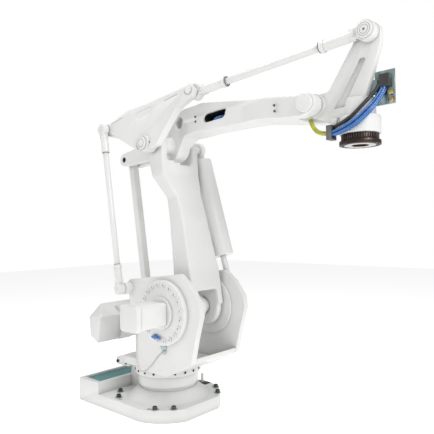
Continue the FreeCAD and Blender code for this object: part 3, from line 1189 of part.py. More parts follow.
def main():
    """Build every sub-part, check them and write them out."""
    for make in (make_foot, make_foot_lid, make_slew_ring, make_sensor_post, make_turret_floor,
                 make_near_cheek, make_far_cheek, make_rear_lug, make_shoulder_drive,
                 make_crank_drive, make_motor_cable, make_lower_arm, make_elbow_axle,
                 make_gas_spring, make_parallel_arm, make_parallel_rod, make_thin_rod,
                 make_tie_rod, make_link, make_upper_arm, make_tilt_house, make_hose_bracket,
                 make_hoses, make_tool_disc):
        make()
    document.recompute()
    for piece in document.Objects:
        if "Invalid" in piece.State or "Error" in piece.State:
            raise RuntimeError(f"{piece.Name}: {piece.State}")
    os.makedirs("parts", exist_ok=True)
    for piece in finished:
        if piece.Shape.isNull() or not piece.Shape.isValid():
            raise RuntimeError(f"{piece.Label} has no valid shape")
        piece.Shape.exportStep(f"parts/{piece.Label}.step")


main()
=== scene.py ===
"""The looks of a four-axis palletizing robot arm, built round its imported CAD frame.

Every CAD casting keeps its place and size. Each one is shown as a rounded copy of its own
solid with a painted, cast or machined finish, and small hardware is added on top of it.
"""

import json
import logging
import math
from collections.abc import Iterable
from dataclasses import dataclass
from enum import Enum

import bmesh
import bpy
from mathutils import Matrix, Vector

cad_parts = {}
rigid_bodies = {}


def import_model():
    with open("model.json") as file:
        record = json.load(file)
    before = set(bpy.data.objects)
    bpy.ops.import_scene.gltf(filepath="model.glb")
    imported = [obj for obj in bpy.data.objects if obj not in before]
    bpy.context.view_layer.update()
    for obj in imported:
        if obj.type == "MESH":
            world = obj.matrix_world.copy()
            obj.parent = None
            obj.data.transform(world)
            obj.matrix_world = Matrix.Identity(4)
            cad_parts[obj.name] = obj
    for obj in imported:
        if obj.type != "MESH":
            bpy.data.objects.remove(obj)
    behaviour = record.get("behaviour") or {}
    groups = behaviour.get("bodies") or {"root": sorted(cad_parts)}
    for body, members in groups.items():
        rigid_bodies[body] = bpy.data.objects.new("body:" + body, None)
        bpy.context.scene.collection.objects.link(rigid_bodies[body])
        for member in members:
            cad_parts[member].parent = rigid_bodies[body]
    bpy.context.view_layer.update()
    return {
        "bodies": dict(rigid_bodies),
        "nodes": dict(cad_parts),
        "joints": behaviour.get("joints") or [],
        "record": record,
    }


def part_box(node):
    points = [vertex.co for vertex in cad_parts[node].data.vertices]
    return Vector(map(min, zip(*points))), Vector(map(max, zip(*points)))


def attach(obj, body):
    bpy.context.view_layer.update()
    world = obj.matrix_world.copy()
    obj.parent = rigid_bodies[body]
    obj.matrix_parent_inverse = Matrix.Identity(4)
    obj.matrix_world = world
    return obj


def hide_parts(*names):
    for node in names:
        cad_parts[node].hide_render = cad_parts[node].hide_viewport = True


log = logging.getLogger("robot_arm")

UP = Vector((0, 0, 1))
DOWN = Vector((0, 0, -1))
NEAR = Vector((0, -1, 0))
ON_AXIS = 1e-6


# --- shader node groups ---------------------------------------------------------------------
class Kind(Enum):
    """The sort of surface that a finish makes."""

    PAINT = "paint"
    METAL = "metal"
    PLASTIC = "plastic"
    RUBBER = "rubber"


class GroupBuilder:
    """Builds one shader node group with named sockets."""

    def __init__(self, name: str) -> None:
        """Start an empty group.

        Args:
            name: The group's name in the file.
        """
        self.tree = bpy.data.node_groups.new(name, "ShaderNodeTree")
        self.inside = None
        self.outside = None

    def sockets(self, inputs: dict[str, tuple[str, object]], outputs: dict[str, str]) -> None:
        """Make the group's sockets and its input and output nodes.

        Args:
            inputs: Socket name to its type and its default.
            outputs: Socket name to its type.
        """
        for name, (kind, default) in inputs.items():
            socket = self.tree.interface.new_socket(name, in_out="INPUT", socket_type=kind)
            socket.default_value = default
        for name, kind in outputs.items():
            self.tree.interface.new_socket(name, in_out="OUTPUT", socket_type=kind)
        self.inside = self.tree.nodes.new("NodeGroupInput")
        self.outside = self.tree.nodes.new("NodeGroupOutput")

    def node(self, kind: str, **settings: object) -> bpy.types.Node:
        """Add a node to the group.

        Args:
            kind: The node's Blender type.
            settings: Properties to set on it.

        Returns:
            The new node.
        """
        made = self.tree.nodes.new(kind)
        for name, value in settings.items():
            setattr(made, name, value)
        return made

    def link(self, source: bpy.types.NodeSocket, target: bpy.types.NodeSocket) -> None:
        """Join two sockets.

        Args:
            source: The socket that the value comes from.
            target: The socket that it goes to.
        """
        self.tree.links.new(source, target)


def mottle_group() -> bpy.types.NodeTree:
    """Slow and fine variation over a surface, as a colour, a mask and a height.

    Returns:
        The node group.
    """
    build = GroupBuilder("surface_mottle")
    colour = "NodeSocketColor"
    number = "NodeSocketFloat"
    build.sockets(
        {
            "Light": (colour, (1.0, 1.0, 1.0, 1.0)),
            "Dark": (colour, (0.8, 0.8, 0.8, 1.0)),
            "Cloud Scale": (number, 2.0),
            "Grain Scale": (number, 300.0),
            "Low Roughness": (number, 0.3),
            "High Roughness": (number, 0.5),
        },
        {"Color": colour, "Roughness": number, "Height": number},
    )
    place = build.node("ShaderNodeTexCoord")
    cloud = build.node("ShaderNodeTexNoise")
    cloud.inputs["Detail"].default_value = 4.0
    grain = build.node("ShaderNodeTexNoise")
    grain.inputs["Detail"].default_value = 2.0
    mix = build.node("ShaderNodeMix", data_type="RGBA")
    spread = build.node("ShaderNodeMapRange")
    spread.inputs["From Min"].default_value = 0.3
    spread.inputs["From Max"].default_value = 0.7
    shine = build.node("ShaderNodeMapRange")
    shine.inputs["From Min"].default_value = 0.3
    shine.inputs["From Max"].default_value = 0.7
    build.link(place.outputs["Object"], cloud.inputs["Vector"])
    build.link(place.outputs["Object"], grain.inputs["Vector"])
    build.link(build.inside.outputs["Cloud Scale"], cloud.inputs["Scale"])
    build.link(build.inside.outputs["Grain Scale"], grain.inputs["Scale"])
    build.link(cloud.outputs["Fac"], spread.inputs["Value"])
    build.link(spread.outputs["Result"], mix.inputs[0])
    build.link(build.inside.outputs["Light"], mix.inputs[6])
    build.link(build.inside.outputs["Dark"], mix.inputs[7])
    build.link(cloud.outputs["Fac"], shine.inputs["Value"])
    build.link(build.inside.outputs["Low Roughness"], shine.inputs["To Min"])
    build.link(build.inside.outputs["High Roughness"], shine.inputs["To Max"])
    build.link(mix.outputs[2], build.outside.inputs["Color"])
    build.link(shine.outputs["Result"], build.outside.inputs["Roughness"])
    build.link(grain.outputs["Fac"], build.outside.inputs["Height"])
    return build.tree


def shade_and_wear_group() -> bpy.types.NodeTree:
    """A mask of painted shade in hollows, found by ambient occlusion, and of rubbed edges.

    Returns:
        The node group.
    """
    build = GroupBuilder("hollow_shade_and_edge_wear")
    number = "NodeSocketFloat"
    build.sockets({"Width": (number, 0.02), "Broken Up": (number, 8.0)},
                  {"Hollow Shade": number, "Edge": number})
    # Ambient occlusion marks the hollows where shade is painted into the colour.
    hollow_shade = build.node("ShaderNodeAmbientOcclusion", samples=8, only_local=False)
    invert = build.node("ShaderNodeMapRange")
    invert.inputs["From Min"].default_value = 0.25
    invert.inputs["From Max"].default_value = 0.95
    invert.inputs["To Min"].default_value = 1.0
    invert.inputs["To Max"].default_value = 0.0
    shape = build.node("ShaderNodeNewGeometry")
    ridge = build.node("ShaderNodeMapRange")
    ridge.inputs["From Min"].default_value = 0.52
    ridge.inputs["From Max"].default_value = 0.62
    place = build.node("ShaderNodeTexCoord")
    noise = build.node("ShaderNodeTexNoise")
    broken = build.node("ShaderNodeMath", operation="MULTIPLY")
    build.link(build.inside.outputs["Width"], hollow_shade.inputs["Distance"])
    build.link(hollow_shade.outputs["AO"], invert.inputs["Value"])
    build.link(shape.outputs["Pointiness"], ridge.inputs["Value"])
    build.link(place.outputs["Object"], noise.inputs["Vector"])
    build.link(build.inside.outputs["Broken Up"], noise.inputs["Scale"])
    build.link(ridge.outputs["Result"], broken.inputs[0])
    build.link(noise.outputs["Fac"], broken.inputs[1])
    build.link(invert.outputs["Result"], build.outside.inputs["Hollow Shade"])
    build.link(broken.outputs["Value"], build.outside.inputs["Edge"])
    return build.tree


# --- finishes ---------------------------------------------------------------------------------
@dataclass(frozen=True)
class Finish:
    """What one finish looks like."""

    name: str
    slot: str
    kind: Kind
    light: tuple[float, float, float]
    dark: tuple[float, float, float]
    roughness: tuple[float, float] = (0.35, 0.5)
    cloud_scale: float = 2.0
    grain_scale: float = 260.0
    grain_depth: float = 0.0002
    coat: float = 0.0
    # Tint, reach and strength of the shade painted into hollows.
    hollow_shade_tint: tuple[float, float, float] = (0.45, 0.44, 0.42)
    hollow_shade_width: float = 0.05
    hollow_shade_amount: float = 0.5
    edge_tint: tuple[float, float, float] = (0.9, 0.9, 0.9)

    @property
    def metallic(self) -> float:
        """How metallic the surface is."""
        return 1.0 if self.kind is Kind.METAL else 0.0


WHITE_PAINT = Finish("cast_white_paint", "white_paint", Kind.PAINT, (0.80, 0.80, 0.785),
                     (0.74, 0.742, 0.73), (0.36, 0.5), 2.5, 420.0, 0.00025, 0.15)
SMOOTH_WHITE = Finish("smooth_white_paint", "white_paint", Kind.PAINT, (0.82, 0.82, 0.81),
                      (0.77, 0.77, 0.76), (0.28, 0.4), 3.0, 600.0, 0.0001, 0.25)
TEAL_PAINT = Finish("teal_lid_paint", "teal_lid", Kind.PAINT, (0.085, 0.30, 0.31),
                    (0.06, 0.24, 0.25), (0.35, 0.5), 4.0, 500.0, 0.0001)
BROWN_STEEL = Finish("browned_steel", "dark_steel", Kind.METAL, (0.085, 0.06, 0.05),
                     (0.035, 0.025, 0.022), (0.32, 0.55), 20.0, 500.0, 0.0002)
BARE_STEEL = Finish("bracket_steel", "bare_steel", Kind.METAL, (0.42, 0.56, 0.55),
                    (0.30, 0.42, 0.42), (0.25, 0.4), 12.0, 700.0, 0.0001)
DARK_BOLT = Finish("black_bolt", "dark_steel", Kind.METAL, (0.05, 0.05, 0.05),
                   (0.02, 0.02, 0.02), (0.3, 0.45), 60.0, 900.0, 0.0001)
BLACK_PLASTIC = Finish("connector_plastic", "black_plastic", Kind.PLASTIC, (0.03, 0.03, 0.032),
                       (0.018, 0.018, 0.02), (0.4, 0.55), 30.0, 700.0, 0.0002)
BLACK_RUBBER = Finish("cable_rubber", "black_rubber", Kind.RUBBER, (0.022, 0.022, 0.023),
                      (0.012, 0.012, 0.013), (0.42, 0.6), 30.0, 800.0, 0.0002)
BRASS = Finish("fitting_brass", "brass", Kind.METAL, (0.60, 0.46, 0.22), (0.45, 0.34, 0.16),
               (0.22, 0.35), 40.0, 900.0, 0.0001)
BLUE_HOSE = Finish("blue_hose_plastic", "blue_hose", Kind.PLASTIC, (0.01, 0.16, 0.52),
                   (0.006, 0.10, 0.38), (0.2, 0.32), 12.0, 500.0, 0.0001, 0.4)
PALE_CABLE = Finish("pale_cable_sheath", "pale_cable", Kind.RUBBER, (0.62, 0.61, 0.58),
                    (0.52, 0.51, 0.49), (0.45, 0.6), 20.0, 700.0, 0.0001)
YELLOW_GREEN = Finish("ribbed_yellow_green", "yellow_green_plastic", Kind.PLASTIC,
                      (0.50, 0.52, 0.04), (0.36, 0.38, 0.03), (0.35, 0.5), 30.0, 600.0, 0.0002)
FACE_STEEL = Finish("machined_face", "bare_steel", Kind.METAL, (0.72, 0.71, 0.69),
                    (0.60, 0.59, 0.58), (0.22, 0.34), 30.0, 900.0, 0.0001)
SHADOW = Finish("bore_shadow", "black_plastic", Kind.PLASTIC, (0.02, 0.02, 0.021),
                (0.01, 0.01, 0.011), (0.5, 0.7), 10.0, 300.0, 0.0001)


class Paintbox:
    """Makes each finish's material once and hands it out."""

    def __init__(self) -> None:
        """Build the shared node groups."""
        self.mottle = mottle_group()
        self.shade_and_wear = shade_and_wear_group()
        self.made: dict[str, bpy.types.Material] = {}

    def material(self, finish: Finish) -> bpy.types.Material:
        """Give the material of a finish.

        Args:
            finish: The finish wanted.

        Returns:
            Its material, made on first use.
        """
        if finish.name not in self.made:
            self.made[finish.name] = self._make(finish)
        return self.made[finish.name]

    def _make(self, finish: Finish) -> bpy.types.Material:
        """Build one finish's node tree.

        Args:
            finish: The finish to build.

        Returns:
            The new material.
        """
        material = bpy.data.materials.new(finish.name)
        material.use_nodes = True
        tree = material.node_tree
        shader = tree.nodes["Principled BSDF"]
        shader.inputs["Metallic"].default_value = finish.metallic
        shader.inputs["Coat Weight"].default_value = finish.coat
        shader.inputs["Coat Roughness"].default_value = 0.18
        mottle = tree.nodes.new("ShaderNodeGroup")
        mottle.node_tree = self.mottle
        for socket, value in (("Light", (*finish.light, 1.0)), ("Dark", (*finish.dark, 1.0)),
                              ("Cloud Scale", finish.cloud_scale),
                              ("Grain Scale", finish.grain_scale),
                              ("Low Roughness", finish.roughness[0]),
                              ("High Roughness", finish.roughness[1])):
            mottle.inputs[socket].default_value = value
        shade_and_wear = tree.nodes.new("ShaderNodeGroup")
        shade_and_wear.node_tree = self.shade_and_wear
        shade_and_wear.inputs["Width"].default_value = finish.hollow_shade_width
        shade_strength = tree.nodes.new("ShaderNodeMath")
        shade_strength.operation = "MULTIPLY"
        shade_strength.inputs[1].default_value = finish.hollow_shade_amount
        # Painted shade: the colour is multiplied towards the hollow tint where ambient occlusion
        # finds hollows.
        shade = tree.nodes.new("ShaderNodeMix")
        shade.data_type = "RGBA"
        shade.blend_type = "MULTIPLY"
        shade.inputs[7].default_value = (*finish.hollow_shade_tint, 1.0)
        rub = tree.nodes.new("ShaderNodeMix")
        rub.data_type = "RGBA"
        rub.inputs[7].default_value = (*finish.edge_tint, 1.0)
        rub_amount = tree.nodes.new("ShaderNodeMath")
        rub_amount.operation = "MULTIPLY"
        rub_amount.inputs[1].default_value = 0.25
        bump = tree.nodes.new("ShaderNodeBump")
        bump.inputs["Distance"].default_value = finish.grain_depth
        bump.inputs["Strength"].default_value = 0.6
        links = tree.links
        links.new(shade_and_wear.outputs["Hollow Shade"], shade_strength.inputs[0])
        links.new(shade_strength.outputs["Value"], shade.inputs[0])
        links.new(mottle.outputs["Color"], shade.inputs[6])
        links.new(shade_and_wear.outputs["Edge"], rub_amount.inputs[0])
        links.new(rub_amount.outputs["Value"], rub.inputs[0])
        links.new(shade.outputs[2], rub.inputs[6])
        links.new(rub.outputs[2], shader.inputs["Base Color"])
        links.new(mottle.outputs["Roughness"], shader.inputs["Roughness"])
        links.new(mottle.outputs["Height"], bump.inputs["Height"])
        links.new(bump.outputs["Normal"], shader.inputs["Normal"])
        return material


# --- small helpers ------------------------------------------------------------------------------
def place(name: str, data: bpy.types.ID) -> bpy.types.Object:
    """Put new data into the scene.

    Args:
        name: The object's name.
        data: Its mesh, curve, light or camera.

    Returns:
        The new object.
    """
    thing = bpy.data.objects.new(name, data)
    bpy.context.scene.collection.objects.link(thing)
    return thing


def place_shape(name: str, shape: bmesh.types.BMesh,
                move: Matrix | None = None) -> bpy.types.Object:
    """Turn a worked shape into an object in the scene.

    Args:
        name: The name of the mesh and of the object.
        shape: The shape, which is freed.
        move: Where it goes, if it isn't in place.

    Returns:
        The new object.
    """
    mesh = bpy.data.meshes.new(name)
    shape.to_mesh(mesh)
    shape.free()
    if move is not None:
        mesh.transform(move)
    return place(name, mesh)


def lay_line(name: str, points: list[Vector], radius: float) -> bpy.types.Curve:
    """A smooth round line along control points.

    Args:
        name: The curve's name.
        points: Its control points.
        radius: Its radius, in metres.

    Returns:
        The new curve.
    """
    curve = bpy.data.curves.new(name, "CURVE")
    curve.dimensions = "3D"
    spline = curve.splines.new("NURBS")
    spline.points.add(len(points) - 1)
    for target, point in zip(spline.points, points):
        target.co = (*point, 1.0)
    spline.order_u = 3
    spline.use_endpoint_u = True
    curve.resolution_u = 24
    curve.bevel_depth = radius
    curve.bevel_resolution = 5
    curve.use_fill_caps = True
    return curve


def near_middle(node: str) -> Vector:
    """The middle of the near side of a CAD node's box.

    Args:
        node: The CAD node.

    Returns:
        The point.
    """
    low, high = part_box(node)
    return Vector(((low.x + high.x) / 2, low.y, (low.z + high.z) / 2))


# --- the workshop: makes pieces and hangs them on bodies -----------------------------------------
@dataclass
class Workshop:
    """Makes pieces, paints them and hangs them on the frame's bodies."""

    frame: dict
    paints: Paintbox
    count: int = 0

    def node(self, name: str) -> bpy.types.Object:
        """Find a CAD node's object.

        Args:
            name: The node's name.

        Returns:
            The object.
        """
        return self.frame["nodes"][name]

    def body(self, node: str) -> str:
        """Name the body that a CAD node belongs to.

        Args:
            node: The CAD node.

        Returns:
            The body's name.
        """
        bodies = self.frame["record"]["behaviour"]["bodies"]
        return next(name for name, nodes in bodies.items() if node in nodes)

    def paint(self, thing: bpy.types.Object, finish: Finish) -> None:
        """Give a piece one finish.

        Args:
            thing: The piece.
            finish: Its finish.
        """
        thing.data.materials.clear()
        thing.data.materials.append(self.paints.material(finish))

    def hang(self, piece: bpy.types.Object, node: str, finish: Finish) -> bpy.types.Object:
        """Paint a new piece and let it ride with a CAD node's body.

        Args:
            piece: The new piece, in place.
            node: The CAD node whose body carries it.
            finish: Its finish.

        Returns:
            The same piece.
        """
        self.paint(piece, finish)
        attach(piece, self.body(node))
        self.count += 1
        return piece

    def soften(self, node: str, finish: Finish, radius: float, segments: int = 4,
               angle: float = 25.0,
               cutters: tuple[bpy.types.Object, ...] = ()) -> bpy.types.Object:
        """Show a CAD node as a copy of its solid with rounded edges.

        Args:
            node: The CAD node.
            finish: Its finish.
            radius: The rounding's width, in metres.
            segments: Steps across the rounding.
            angle: The smallest angle between faces that gets it, in degrees.
            cutters: Solids that are sunk into it before the rounding.

        Returns:
            The new piece.
        """
        mesh = self.node(node).data.copy()
        shape = bmesh.new()
        shape.from_mesh(mesh)
        bmesh.ops.remove_doubles(shape, verts=shape.verts, dist=2e-5)
        bmesh.ops.dissolve_limit(shape, angle_limit=math.radians(1.0), verts=shape.verts,
                                 edges=shape.edges)
        shape.to_mesh(mesh)
        shape.free()
        piece = place(f"{node}_casting", mesh)
        for cutter in cutters:
            sink = piece.modifiers.new("sink", "BOOLEAN")
            sink.operation = "DIFFERENCE"
            sink.solver = "EXACT"
            sink.object = cutter
        bevel = piece.modifiers.new("rounding", "BEVEL")
        bevel.width = radius
        bevel.segments = segments
        bevel.limit_method = "ANGLE"
        bevel.angle_limit = math.radians(angle)
        bevel.use_clamp_overlap = True
        bevel.harden_normals = True
        self._apply(piece)
        for cutter in cutters:
            bpy.data.objects.remove(cutter)
        self._smooth(piece)
        self.hang(piece, node, finish)
        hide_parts(node)
        log.info("rounded %s", node)
        return piece

    def bar(self, start: Vector, end: Vector, across: Vector, width: float,
            depth: float) -> bpy.types.Object:
        """A round-ended bar that sinks a groove or a slot.

        Args:
            start: One end of its middle line, on the face.
            end: The other end.
            across: The face's outward direction.
            width: The bar's width, in metres.
            depth: How far it reaches to each side of the face.

        Returns:
            The loose bar.
        """
        along = (end - start).normalized()
        out = (across - across.dot(along) * along).normalized()
        side = out.cross(along)
        shape = bmesh.new()
        steps = 8
        outline = []
        for index in range(steps + 1):
            turn = math.pi * (index / steps - 0.5)
            outline.append(end + (along * math.cos(turn) + side * math.sin(turn)) * width / 2)
        for index in range(steps + 1):
            turn = math.pi * (index / steps + 0.5)
            outline.append(start + (along * math.cos(turn) + side * math.sin(turn)) * width / 2)
        low = [shape.verts.new(point - out * depth) for point in outline]
        high = [shape.verts.new(point + out * depth) for point in outline]
        shape.faces.new(low)
        shape.faces.new(high)
        for index in range(len(outline)):
            after = (index + 1) % len(outline)
            shape.faces.new((low[index], low[after], high[after], high[index]))
        bmesh.ops.recalc_face_normals(shape, faces=shape.faces)
        return place_shape("groove_tool", shape)

    def ring_band(self, name: str, node: str, finish: Finish, centre: Vector, axis: Vector,
                  radius: float, height: float, depth: float = 0.003) -> bpy.types.Object:
        """A narrow band round a shaft.

        Args:
            name: The piece's name.
            node: The CAD node whose body carries it.
            finish: Its finish.
            centre: The middle of the band.
            axis: The shaft's direction.
            radius: The band's outer radius, in metres.
            height: Its height along the shaft.
            depth: How far it goes in.

        Returns:
            The new piece.
        """
        half = height / 2
        return self.lathe(name, node, finish, centre, axis, [
            (radius - depth, -half), (radius, -half), (radius, half), (radius - depth, half),
            (radius - depth, -half)], 40)

    def melt(self, node: str, finish: Finish, voxel: float, smooth: int,
             decimate: float = 0.5) -> bpy.types.Object:
        """Show a CAD node as a remeshed copy whose edges and inner corners are all soft.

        Args:
            node: The CAD node.
            finish: Its finish.
            voxel: The remesh cell, in metres.
            smooth: How often the surface is smoothed.
            decimate: The share of faces kept.

        Returns:
            The new piece.
        """
        mesh = self.node(node).data.copy()
        piece = place(f"{node}_casting", mesh)
        remesh = piece.modifiers.new("remesh", "REMESH")
        remesh.mode = "VOXEL"
        remesh.voxel_size = voxel
        soft = piece.modifiers.new("soft", "SMOOTH")
        soft.iterations = smooth
        soft.factor = 0.5
        thin = piece.modifiers.new("thin", "DECIMATE")
        thin.ratio = decimate
        self._apply(piece)
        piece.data.shade_smooth()
        self.hang(piece, node, finish)
        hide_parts(node)
        log.info("softened %s", node)
        return piece

    def _apply(self, piece: bpy.types.Object) -> None:
        """Turn a piece's modifiers into its mesh.

        Args:
            piece: The piece.
        """
        graph = bpy.context.evaluated_depsgraph_get()
        graph.update()
        done = bpy.data.meshes.new_from_object(piece.evaluated_get(graph))
        piece.modifiers.clear()
        piece.data = done

    def _smooth(self, piece: bpy.types.Object, angle: float = 40.0) -> None:
        """Shade a piece smoothly, but keep its sharp edges.

        Args:
            piece: The piece.
            angle: The smallest angle of a sharp edge, in degrees.
        """
        piece.data.shade_smooth()
        piece.data.set_sharp_from_angle(angle=math.radians(angle))

    def lathe(self, name: str, node: str, finish: Finish, centre: Vector, axis: Vector,
              profile: list[tuple[float, float]], steps: int = 48) -> bpy.types.Object:
        """Turn a profile about an axis.

        Args:
            name: The piece's name.
            node: The CAD node whose body carries it.
            finish: Its finish.
            centre: Where the profile's height is zero.
            axis: The turning axis; heights grow along it.
            profile: Pairs of radius and height, in metres.
            steps: Steps round the axis.

        Returns:
            The new piece.
        """
        shape = bmesh.new()
        rows = []
        for radius, height in profile:
            turns = [2 * math.pi * step / steps for step in range(steps if radius > ON_AXIS else 1)]
            rows.append([shape.verts.new((radius * math.cos(turn), radius * math.sin(turn),
                                          height)) for turn in turns])
        for low, high in zip(rows, rows[1:]):
            for step in range(steps):
                after = (step + 1) % steps
                corners = [low[step % len(low)], low[after % len(low)],
                           high[after % len(high)], high[step % len(high)]]
                unique = list(dict.fromkeys(corners))
                if len(unique) > 2:
                    shape.faces.new(unique)
        bmesh.ops.recalc_face_normals(shape, faces=shape.faces)
        turned = axis.to_track_quat("Z", "Y").to_matrix().to_4x4()
        piece = place_shape(name, shape, Matrix.Translation(centre) @ turned)
        self._smooth(piece, 30.0)
        return self.hang(piece, node, finish)

    def disc(self, name: str, node: str, centre: Vector, axis: Vector, radius: float, low: float,
             high: float, steps: int) -> bpy.types.Object:
        """A flat dark disc, such as a screw's head.

        Args:
            name: The piece's name.
            node: The CAD node whose body carries it.
            centre: Its middle on the face.
            axis: The face's outward direction.
            radius: Its radius, in metres.
            low: Where it starts along the axis.
            high: Where it ends.
            steps: Steps round it.

        Returns:
            The new piece.
        """
        # A disc that starts on the face is painted shade with the shadow finish; one that sits proud
        # is a dark bolt head.
        finish = SHADOW if low == 0.0 else DARK_BOLT
        return self.lathe(name, node, finish, centre, axis,
                          [(0.0, low), (radius, low), (radius, high), (0.0, high)], steps)

    def hoop(self, name: str, node: str, centre: Vector, axis: Vector, inner: float,
             outer: float, height: float, steps: int = 48) -> bpy.types.Object:
        """A thin ring of painted shade that draws a joint line.

        Args:
            name: The piece's name.
            node: The CAD node whose body carries it.
            centre: Its middle.
            axis: Its axis.
            inner: Its inner radius, in metres.
            outer: Its outer radius.
            height: Its height along the axis.
            steps: Steps round it.

        Returns:
            The new piece.
        """
        return self.lathe(name, node, SHADOW, centre, axis,
                          [(inner, 0.0), (outer, 0.0), (outer, height), (inner, height)], steps)

    def bolt(self, name: str, node: str, centre: Vector, axis: Vector, radius: float,
             height: float, finish: Finish = DARK_BOLT) -> bpy.types.Object:
        """A socket-head bolt that stands on a face.

        Args:
            name: The piece's name.
            node: The CAD node whose body carries it.
            centre: The middle of the head's seat.
            axis: Which way the head stands.
            radius: The head's radius, in metres.
            height: The head's height, in metres.
            finish: Its finish.

        Returns:
            The new piece.
        """
        edge = radius * 0.12
        return self.lathe(name, node, finish, centre, axis, [
            (0.0, -0.001), (radius, -0.001), (radius, height - edge), (radius - edge, height),
            (radius * 0.55, height), (radius * 0.5, height - edge), (radius * 0.45, height * 0.4),
            (0.0, height * 0.4)], 20)

    def tube(self, name: str, node: str, finish: Finish, points: list[Vector],
             radius: float) -> bpy.types.Object:
        """A round tube along a smooth line through points.

        Args:
            name: The piece's name.
            node: The CAD node whose body carries it.
            finish: Its finish.
            points: The line's control points.
            radius: The tube's radius, in metres.

        Returns:
            The new piece.
        """
        piece = place(name, self._mesh_of(lay_line(name, points, radius)))
        self._smooth(piece)
        return self.hang(piece, node, finish)

    def _mesh_of(self, curve: bpy.types.Curve) -> bpy.types.Mesh:
        """Turn a curve into a mesh.

        Args:
            curve: The curve.

        Returns:
            The new mesh.
        """
        holder = place("line_holder", curve)
        bpy.context.view_layer.update()
        graph = bpy.context.evaluated_depsgraph_get()
        mesh = bpy.data.meshes.new_from_object(holder.evaluated_get(graph))
        bpy.data.objects.remove(holder)
        return mesh

    def cord(self, name: str, node: str, finish: Finish, points: list[Vector], radius: float,
             far_end: str = "object", stiffness: str = "medium",
             lay: str = "loose") -> bpy.types.Object:
        """A cable or hose along a smooth line, in the place of its CAD solid.

        Args:
            name: The piece's name.
            node: The CAD node that it replaces.
            finish: Its finish.
            points: The line's control points.
            radius: The cord's radius, in metres.
            far_end: What the far end goes into; not used.
            stiffness: How stiff it is; not used.
            lay: How it lies; not used.

        Returns:
            The new piece.
        """
        curve = lay_line(name, points, radius)
        piece = place(name, curve)
        self.hang(piece, node, finish)
        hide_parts(node)
        self.line_length(curve)
        return piece

    def line_length(self, curve: bpy.types.Curve) -> float:
        """Measure a curve's own line.

        Args:
            curve: The curve.

        Returns:
            Its length, in metres.
        """
        depth, curve.bevel_depth = curve.bevel_depth, 0.0
        line = self._mesh_of(curve)
        curve.bevel_depth = depth
        return sum((line.vertices[e.vertices[0]].co - line.vertices[e.vertices[1]].co).length
                   for e in line.edges)


# --- fixed part: foot, slewing ring and sensor post ----------------------------------------------
@dataclass
class Foot:
    """The bolted foot casting, its lid, the slewing ring and the sensor post."""

    shop: Workshop
    edge: float = 0.010
    bolt_circle: float = 0.400
    bolt_angles: tuple[float, ...] = (37.4, 57.4, 122.6, 142.6)
    plate_top: float = 0.095
    washer_radius: float = 0.028
    washer_thickness: float = 0.005
    ring_bolts: int = 20
    ring_bolt_height: float = 0.312
    ring_first: float = -85.6
    lid_screw: float = 0.0055
    lid_inset: float = 0.016

    def build(self) -> None:
        """Make every piece of the foot."""
        shop = self.shop
        shop.soften("foot_casting", WHITE_PAINT, self.edge, 5, 22.0)
        shop.soften("foot_lid", TEAL_PAINT, 0.0015, 2)
        shop.soften("slew_ring_lower", SMOOTH_WHITE, 0.004, 3)
        shop.soften("slew_ring_upper", SMOOTH_WHITE, 0.005, 4)
        shop.soften("post_plate", DARK_BOLT, 0.0012, 2)
        shop.soften("sensor_post", SMOOTH_WHITE, 0.002, 2)
        self._foot_bolts()
        self._ring_bolts()
        self._lid_screws()
        self._ring_groove()

    def _foot_bolts(self) -> None:
        """Heavy socket-head bolts with washers that hold the plate down."""
        for index, angle in enumerate(self.bolt_angles + tuple(-a for a in self.bolt_angles)):
            turn = math.radians(angle)
            seat = Vector((self.bolt_circle * math.cos(turn), self.bolt_circle * math.sin(turn),
                           self.plate_top))
            rim, thick = self.washer_radius, self.washer_thickness
            self.shop.lathe(f"foot_washer_{index + 1}", "foot_casting", BARE_STEEL, seat, UP,
                            [(0.0, 0.0), (rim, 0.0), (rim, thick - 0.001),
                             (rim - 0.002, thick), (0.0, thick)], 32)
            self.shop.bolt(f"foot_bolt_{index + 1}", "foot_casting", seat + UP * thick, UP,
                           0.018, 0.020)

    def _ring_bolts(self) -> None:
        """Socket screws round the side of the upper slewing ring."""
        low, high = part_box("slew_ring_upper")
        radius = (high.x - low.x) / 2
        for index in range(self.ring_bolts):
            turn = math.radians(self.ring_first + index * 360 / self.ring_bolts)
            out = Vector((math.cos(turn), math.sin(turn), 0))
            seat = Vector((radius * out.x, radius * out.y, self.ring_bolt_height))
            self.shop.bolt(f"ring_screw_{index + 1}", "slew_ring_upper", seat - out * 0.002, out,
                           0.0095, 0.006)

    def _lid_screws(self) -> None:
        """Small screws along the lid's border."""
        low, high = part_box("foot_lid")
        xs = (low.x + self.lid_inset, (low.x + high.x) / 2, high.x - self.lid_inset)
        ys = (low.y + self.lid_inset, low.y / 3, high.y / 3, high.y - self.lid_inset)
        spots = [(x, y) for x in xs for y in ys if x != xs[1] or y in (ys[0], ys[3])]
        for index, (x, y) in enumerate(spots):
            self.shop.bolt(f"lid_screw_{index + 1}", "foot_lid", Vector((x, y, high.z)), UP,
                           self.lid_screw, 0.003)

    def _ring_groove(self) -> None:
        """A line of painted shade in the joint between the two slewing rings."""
        low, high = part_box("slew_ring_lower")
        radius = (high.x - low.x) / 2
        # Painted shade along the joint between the rings.
        self.shop.hoop("ring_joint_shade", "slew_ring_lower", Vector((0, 0, high.z - 0.006)), UP,
                       radius - 0.004, radius + 0.0016, 0.004, 96)


